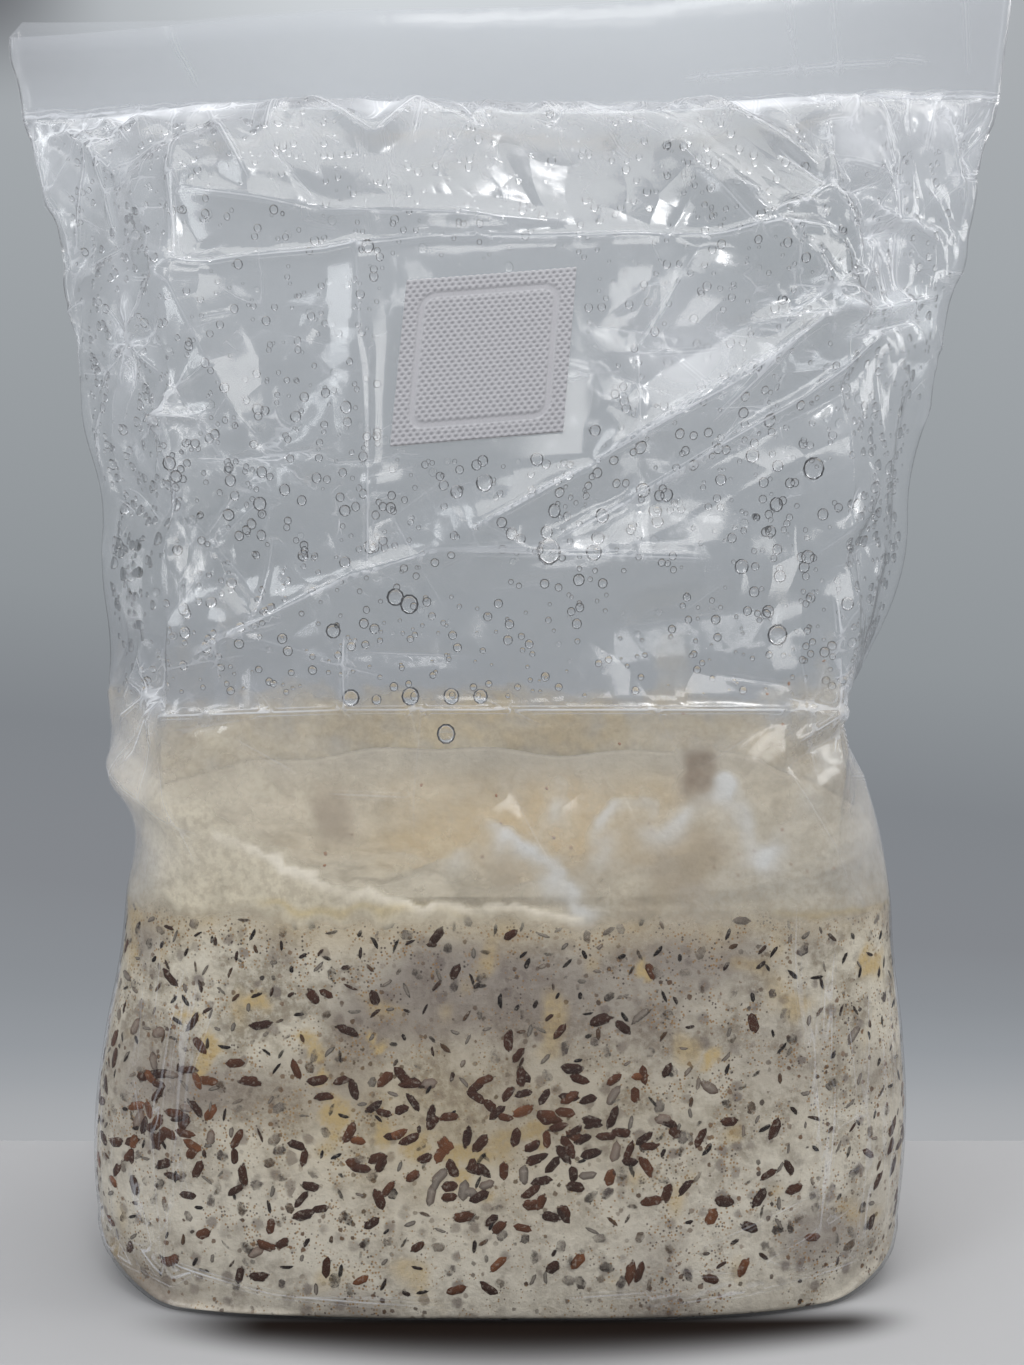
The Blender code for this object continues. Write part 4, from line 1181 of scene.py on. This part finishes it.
long_half = pick((0.0038, 0.0058), (0.0029, 0.0043), (0.0018, 0.0035))
wide_half = pick((0.0015, 0.0022), (0.0015, 0.0022), (0.00055, 0.00095))
long_half = np.where(speck, 0.26 * long_half, long_half)
deep_half = pick((0.0008, 0.0010), (0.0008, 0.0010), (0.0005, 0.0006))
lift = pick((0.00040, 0.00055), (0.00034, 0.00050), (0.00026, 0.00042))
kernel_lean = grain_chance.normal(1.1, 0.8, grain_count)
other_lean = grain_chance.normal(0.5, 0.9, grain_count)
lean = np.where(kernel, kernel_lean, other_lean)
along_way = np.cos(lean)[:, None] * up_way + np.sin(lean)[:, None] * round_way
side_way = np.cross(along_way, outward)
grain_rings = [(s, (1 - s * s) ** 1.3, (1 - s * s) ** 1.3) for s in GRAIN_STATIONS]
unit = unit_shape(grain_rings, GRAIN_ROUND, ((-1.0, 0.0, 0.0), (1.0, 0.0, 0.0)))
bend = 0.22 * grain_chance.uniform(-1, 1, grain_count)[:, None] * (unit[:, 0] ** 2 - 0.4) * long_half[:, None]
uneven = 1 + 0.15 * grain_chance.uniform(-1, 1, (grain_count, len(unit)))
grain_points = lay_out(
    at + outward * (lift - deep_half)[:, None],
    (unit[:, 0] * long_half[:, None], along_way),
    (unit[:, 1] * wide_half[:, None] * uneven + bend, side_way),
    (unit[:, 2] * deep_half[:, None], outward),
)
BROWN_TONES = np.array([shade(56, 33, 22), shade(68, 39, 24), shade(84, 49, 29), shade(108, 65, 37)])[:, :3]
BLACK_TONES = np.array([shade(30, 21, 17), shade(42, 29, 23), shade(60, 41, 30), shade(82, 60, 42)])[:, :3]
VEILED_TONES = np.array([shade(78, 66, 62), shade(58, 46, 40), shade(92, 72, 54)])[:, :3]
SPECK_TONE = shade(150, 88, 36)[:3]
SPLIT_TONE = np.array(shade(168, 158, 144))[:3]

sliver = ~ghost & ~kernel & ~speck
brown_kind = (0.30, 0.34, 0.24, 0.12)
black_kind = (0.40, 0.28, 0.20, 0.12)
tone = BLACK_TONES[grain_chance.choice(4, grain_count, p=black_kind)]
tone = np.where(kernel[:, None], BROWN_TONES[grain_chance.choice(4, grain_count, p=brown_kind)], tone)
tone = np.where(ghost[:, None], VEILED_TONES[grain_chance.choice(3, grain_count)], tone)
tone = np.where(speck[:, None], SPECK_TONE, tone)
outer = np.clip(unit[:, 2], 0, 1) ** 2 * (np.abs(unit[:, 0]) < 0.5)
split = outer * (grain_chance.uniform(0, 1, grain_count) < np.where(kernel, 0.10, 0.38))[:, None]
grain_tone = np.ones((grain_count, len(unit), 4))
grain_tone[..., :3] = tone[:, None, :] * (1 + 0.30 * grain_chance.uniform(-1, 1, (grain_count, len(unit), 1)))
grain_tone[..., :3] += 0.75 * split[..., None] * (SPLIT_TONE - grain_tone[..., :3])
veil = np.where(ghost, grain_chance.uniform(0.25, 0.68, grain_count), 0.0)
veil = np.where(sliver, 0.5 * grain_chance.uniform(0, 1, grain_count) ** 3, veil)[:, None] + 0 * split
out_of_block = unit[:, 2] + 0 * split

husk = Look("grain_husk")
husk_place = husk.place()
grit = husk.spread(husk.noise(husk_place, 900.0, 3.0), 0.54, 0.74, 0.0, 0.5)
husk_tone = husk.node("Attribute", attribute_name="tone")["Color"]
husk_tone = husk.blend(grit, husk_tone, shade(170, 160, 146))
hull = husk.node("BsdfPrincipled", {"Base Color": husk_tone, "Roughness": 0.6, "Specular IOR Level": 0.2})[0]
ragged = husk.noise(husk_place, 560.0, 3.0, 0.6)
veiled = husk.mark("veil")
worn = husk.maths("MULTIPLY_ADD", husk.maths("SUBTRACT", ragged, 0.5), 0.9, husk.mark("rise"))
covered = husk.node("MapRange", {0: worn, 1: 0.42, 2: husk.maths("MULTIPLY_ADD", veiled, 0.55, 0.55)})[0]
gaps = husk.times(veiled, husk.spread(ragged, 0.42, 0.60, 1.3, 0.0))
covered = husk.times(covered, husk.maths("SUBTRACT", 1.0, gaps, clamp=True))
covered = husk.times(covered, husk.maths("MULTIPLY_ADD", veiled, -0.75, 1.0), clamp=True)
husk.finish(husk.mix(covered, husk.node("BsdfTransparent", {"Color": WHITE})[0], hull))

grain_faces = shape_faces(grain_count, len(GRAIN_STATIONS), GRAIN_ROUND)
grains = make_piece(
    "bedded_grains", grain_points, grain_faces, husk, tone=grain_tone, veil=veil, rise=out_of_block
)
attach(grains, "root")

# The skin of mycelium that has climbed the inside of the film above the block: a cream sheet at the front's
# left, thinner and mottled elsewhere, with pale wisps in peaks and the faintest haze over them.
SKIN_INSET = 0.0003
SKIN_LOW = 0.1080
SKIN_HIGH = 0.2050
SHEET_EDGE = (
    (-0.330, 0.173), (-0.240, 0.172), (-0.170, 0.156), (-0.135, 0.150), (-0.115, 0.151), (-0.090, 0.148),
    (-0.072, 0.1380), (-0.055, 0.1290), (-0.035, 0.1230), (0.000, 0.1215), (0.024, 0.1200), (0.040, 0.1360),
    (0.060, 0.1400), (0.080, 0.1360), (0.095, 0.142), (0.115, 0.149), (0.135, 0.150), (0.170, 0.154),
    (0.240, 0.170), (0.330, 0.173),
)
HAZE_EDGE = (
    (-0.330, 0.176), (-0.170, 0.178), (-0.125, 0.176), (-0.080, 0.176), (-0.050, 0.174), (-0.020, 0.167),
    (0.000, 0.165), (0.030, 0.168), (0.038, 0.180), (0.045, 0.195), (0.053, 0.193), (0.060, 0.180),
    (0.080, 0.181), (0.088, 0.186), (0.094, 0.194), (0.102, 0.176), (0.120, 0.178), (0.170, 0.178),
    (0.330, 0.176),
)
WISPS = (
    (((-0.0240, 0.1290), (-0.0152, 0.1343), (-0.0037, 0.1412)), 0.0040, 0.45),
    (((-0.0037, 0.1412), (0.0064, 0.1357), (0.0150, 0.1271), (0.0242, 0.1185)), 0.0046, 0.65),
    (((0.0150, 0.1530), (0.0162, 0.1400)), 0.0040, 0.40),
    (((0.0242, 0.1391), (0.0279, 0.1443), (0.0325, 0.1492), (0.0455, 0.1498)), 0.0022, 0.60),
    (
        ((0.0265, 0.1357), (0.0325, 0.1391), (0.0492, 0.1420), (0.0567, 0.1478), (0.0639, 0.1550)),
        0.0042, 0.55,
    ),
    (((0.0639, 0.1550), (0.0696, 0.1486), (0.0739, 0.1414), (0.0785, 0.1345)), 0.0048, 0.50),
    (((-0.0880, 0.1700), (-0.0770, 0.1587), (-0.0598, 0.1501)), 0.0045, 0.28),
    (((0.0800, 0.1340), (0.0920, 0.1500), (0.0980, 0.1640)), 0.0050, 0.35),
)
SHEEN = (
    (-0.0880, 0.1400), (-0.0715, 0.1331), (-0.0531, 0.1262), (-0.0356, 0.1213), (0.0012, 0.1196),
    (0.0236, 0.1176),
)
TAN_SPOTS = (((-0.0518, 0.1446), (0.0070, 0.0086), 1.0), ((0.0577, 0.1580), (0.0052, 0.0080), 1.35))
MOTTLED = (
    ((0.0390, 0.1270), (0.0200, 0.0120)),
    ((-0.0020, 0.1300), (0.0140, 0.0080)),
    ((0.0520, 0.1385), (0.0130, 0.0080)),
)

skin_across = ways_round(240, 40, 20, 30)
skin_up = np.linspace(SKIN_LOW, SKIN_HIGH, 118)
skin_points = film_point(skin_across[None, :], skin_up[:, None], SKIN_INSET)
rough = 0.0032 * cloud(skin_points, 0.012, 21) + 0.0020 * cloud(skin_points, 0.005, 22)
rough = rough + 0.0012 * cloud(skin_points, 0.0022, 23)
at_front = ease(-skin_points[..., 1], 0.010, 0.025)
sides = ease(np.abs(skin_across)[None, :], 0.095, 0.140)
behind = ease(np.abs(skin_across)[None, :], 0.15, 0.20)


def above_edge(corners):
    """How far each point of the skin lies above a ragged edge through the given corners."""
    heights = np.interp(skin_across, [c[0] for c in corners], [c[1] for c in corners])
    return skin_up[:, None] - heights[None, :] + rough


def band(corners, half_width):
    """A ribbon along a line of (across, up) corners, bent by the skin's own roughness: its upper edge is
    firm and it dies away slowly below."""
    across, up = skin_across[None, :] + 0.6 * rough, skin_up[:, None] + 0.6 * rough
    gap = np.full(rough.shape, 1.0)
    for (x0, z0), (x1, z1) in zip(corners, corners[1:]):
        run = (x1 - x0) ** 2 + (z1 - z0) ** 2
        near = np.clip(((across - x0) * (x1 - x0) + (up - z0) * (z1 - z0)) / run, 0, 1)
        off_across, off_up = across - x0 - near * (x1 - x0), up - z0 - near * (z1 - z0)
        gap = np.minimum(gap, np.hypot(off_across, off_up * np.where(off_up > 0, 2.2, 0.7)))
    return np.exp(-((gap / half_width) ** 2))


def blot(middle, half):
    """A spot with a fairly firm, square outline."""
    across, up = skin_across[None, :] + 0.5 * rough, skin_up[:, None] + 0.5 * rough
    return np.exp(-(((across - middle[0]) / half[0]) ** 4) - ((up - middle[1]) / half[1]) ** 4)


over_sheet = above_edge(SHEET_EDGE)
sheet = 1 - ease(over_sheet, -0.004, 0.002 + 0.012 * sides)
front_left = (1 - ease(skin_across[None, :], -0.045, 0.010)) * (1 - sides)
wisp = np.clip(sum(strength * band(corners, half) for corners, half, strength in WISPS), 0, 0.9)
wisp = wisp * np.clip(0.9 + 0.9 * cloud(skin_points, 0.007, 26), 0, 1.3)
sheen = band(SHEEN, 0.0017) * (0.8 + 0.6 * cloud(skin_points, 0.008, 36))
hazy_share = 1 - ease(above_edge(HAZE_EDGE) + 1.5 * rough, -0.014, 0.010)
tan_share = sum(strength * blot(middle, half) for middle, half, strength in TAN_SPOTS)
mottled = sum(spot(skin_points, middle, reach) for middle, reach in MOTTLED)
mottled = np.clip(mottled * (0.9 + 0.8 * cloud(skin_points, 0.009, 35)), 0, 1) * (1 - front_left)
skin_alpha = sheet * (0.62 + 0.30 * front_left + 0.30 * behind + 0.25 * cloud(skin_points, 0.008, 37))
thin_haze = 0.26 + 0.18 * ease(np.abs(skin_across)[None, :], 0.06, 0.11)
skin_alpha = np.maximum(skin_alpha, thin_haze * hazy_share)
bare_share = (1 - skin_alpha) * (1 - wisp) * (1 - 0.66 * tan_share) * (1 - 0.55 * mottled)
skin_alpha = 1 - bare_share * (1 - 0.8 * sheen)
low_edge = 0.1145 + 0.0035 * cloud(skin_points, 0.019, 27) + 0.0022 * cloud(skin_points, 0.006, 28)
low_edge = low_edge + 0.0028 * front_left - 0.0014 * (1 - front_left) * at_front
fading = 0.0070 - 0.0035 * front_left
skin_alpha = np.clip(skin_alpha, 0, 0.96) * ease(skin_up[:, None] - low_edge, -fading, fading)
amber_line = 0.8 * np.exp(-(((skin_up[:, None] - low_edge - 0.0030) / 0.0011) ** 2))
amber_line = amber_line * ease(cloud(skin_points, 0.02, 29), -0.1, 0.4)
yellow_share = (0.35 + 0.3 * ease(np.abs(skin_across)[None, :], 0.24, 0.30)) * behind + amber_line
yellow_share = yellow_share + 0.5 * mottled * ease(cloud(skin_points, 0.011, 38), 0.0, 0.5)
yellow_share = np.clip(yellow_share * (1 - wisp), 0, 1)
bluish = np.clip(wisp * (1 - front_left) * 1.1 * (1 - 0.9 * np.clip(tan_share, 0, 1)), 0, 1)
cream_share = front_left + sheen + 0.6 * (1 - sides) + 0.45 * cloud(skin_points, 0.018, 25)
cream_share = np.clip(cream_share, 0, 1) * (1 - bluish)
tan_share = np.clip(tan_share + 0.75 * mottled * (1 - wisp), 0, 1.3)

skin_marks = {
    "thick": skin_alpha, "creamy": cream_share, "yellow": yellow_share, "bluish": bluish, "tan": tan_share,
    "sheen": np.clip(sheen, 0, 1),
}

skin_look = Look("climbing_mycelium")
skin_place = skin_look.place()
threads = skin_look.spread(skin_look.noise(skin_place, 430.0, 4.0, 0.65), 0.35, 0.60, 0.40, 0.0)
wisps = skin_look.noise(skin_place, 130.0, 4.0)
shown = {label: skin_look.mark(label) for label in skin_marks}
fuzz = skin_look.blend(shown["creamy"], shade(196, 190, 178), shade(222, 211, 186))
for share, tone in (
    (skin_look.times(shown["yellow"], 0.8), shade(204, 182, 128)),
    (skin_look.times(shown["tan"], 0.8, clamp=True), shade(146, 126, 102)),
    (threads, shade(166, 150, 126)),
    (shown["bluish"], shade(222, 220, 214)),
    (shown["sheen"], shade(248, 238, 218)),
):
    fuzz = skin_look.blend(share, fuzz, tone)
fuzz_bump = skin_look.node("Bump", {"Height": wisps, "Strength": 0.6, "Distance": 0.0016})[0]
wool = skin_look.node("BsdfPrincipled", {"Base Color": fuzz, "Roughness": 0.8, "Normal": fuzz_bump})[0]
cover = skin_look.maths("MULTIPLY_ADD", skin_look.maths("SUBTRACT", wisps, 0.5), 0.9, shown["thick"])
cover = skin_look.times(cover, skin_look.spread(shown["thick"], 0.02, 0.2), clamp=True)
skin_look.finish(skin_look.mix(cover, skin_look.node("BsdfTransparent", {"Color": WHITE})[0], wool))

skin_faces = [grid_faces(len(skin_up), len(skin_across), wrapped=True)]
climbing_skin = make_piece("climbing_skin", skin_points, skin_faces, skin_look, **skin_marks)
climbing_skin.visible_shadow = False
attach(climbing_skin, "root")

# Condensation: drops of water hanging on the inside of the film, each a flat-backed lens.
DROP_ROUND = 10
DROP_RINGS = ((0.0, 1.0), (0.42, 0.92), (0.76, 0.52))
DROP_DEPTH = 0.88
DROP_INSET = 0.0003
DROP_COUNT = 2300
BACK_DROPS = 220
BIG_DROPS = (
    ((0.090, 0.247), 0.0032),
    ((0.040, 0.241), 0.0022),
    ((-0.007, 0.243), 0.0026),
    ((-0.033, 0.209), 0.0026),
    ((-0.029, 0.207), 0.0028),
    ((-0.051, 0.199), 0.0022),
    ((0.079, 0.198), 0.0030),
    ((0.012, 0.222), 0.0036),
    ((0.025, 0.222), 0.0024),
    ((-0.042, 0.315), 0.0020),
    ((-0.018, 0.169), 0.0028),
    ((-0.046, 0.1795), 0.0026),
    ((-0.0385, 0.1790), 0.0015),
    ((-0.0285, 0.1800), 0.0027),
    ((-0.0165, 0.1800), 0.0024),
    ((-0.0080, 0.1800), 0.0022),
)

drop_chance = np.random.default_rng(12)
drop_across = drop_chance.uniform(-0.158, 0.158, 3 * DROP_COUNT)
drop_up = 0.180 + 0.190 * drop_chance.uniform(0, 1, 3 * DROP_COUNT)
off_patch = np.maximum(np.abs(drop_across - PATCH_ACROSS), np.abs(drop_up - PATCH_HEIGHT))
off_patch = off_patch > patch_reach + 0.002
drop_across, drop_up = drop_across[off_patch][:DROP_COUNT], drop_up[off_patch][:DROP_COUNT]
drop_size = 0.00048 + 0.00095 * drop_chance.uniform(0, 1, len(drop_across)) ** 2.0
swollen = 0.7 * np.exp(-(((drop_up - 0.235) / 0.035) ** 2))
drop_size *= 1 + swollen * drop_chance.uniform(0, 1, len(drop_across))
back_across = drop_chance.uniform(FLAT_HALF + 0.01, 2 * ROUND_HALF - FLAT_HALF - 0.01, BACK_DROPS)
back_up = 0.185 + 0.180 * drop_chance.uniform(0, 1, BACK_DROPS)
back_across = np.where(back_across > ROUND_HALF, back_across - 2 * ROUND_HALF, back_across)
back_size = 0.0005 + 0.0014 * drop_chance.uniform(0, 1, BACK_DROPS) ** 2.4
drop_across = np.concatenate([drop_across, [p[0] for p, _ in BIG_DROPS], back_across])
drop_up = np.concatenate([drop_up, [p[1] for p, _ in BIG_DROPS], back_up])
drop_size = np.concatenate([drop_size, [size for _, size in BIG_DROPS], back_size])


round_way, up_way, outward = surface_ways(film_point, drop_across, drop_up, 0.0012)
up_way = unit_long(up_way - (up_way * outward).sum(-1, keepdims=True) * outward)
drop_rings = [(depth, radius, radius) for depth, radius in DROP_RINGS]
unit = unit_shape(drop_rings, DROP_ROUND, ((0.0, 0.0, 0.0), (DROP_DEPTH, 0.0, 0.0)))
tall = 1 + 0.12 * drop_chance.uniform(0, 1, len(drop_size))
sag = unit[:, 2] - 0.16 * (unit[:, 0] / DROP_DEPTH)
drops = lay_out(
    film_point(drop_across, drop_up) - DROP_INSET * outward,
    (unit[:, 1] * drop_size[:, None], np.cross(up_way, outward)),
    (sag * (drop_size * tall)[:, None], up_way),
    (-unit[:, 0] * drop_size[:, None], outward),
)
drop_faces = shape_faces(len(drop_size), len(DROP_RINGS), DROP_ROUND, turned_over=True)

water = Look("condensation")
# A painted shade: the water's tint darkens towards each drop's edge, for the dark rings that the drops show.
painted_dark_rim = water.spread(water.node("LayerWeight", {"Blend": 0.5})["Facing"], 0.34, 0.80)
drop_tone = water.blend(painted_dark_rim, WHITE, (0.20, 0.21, 0.22, 1.0))
wet = {"Base Color": drop_tone, "Roughness": 0.0, "IOR": 1.333, "Transmission Weight": 1.0}
water.finish(water.node("BsdfPrincipled", wet)[0])
condensation = make_piece("condensation", drops, drop_faces, water)
condensation.data.set_sharp_from_angle(angle=math.radians(60))
condensation.visible_shadow = False
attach(condensation, "root")
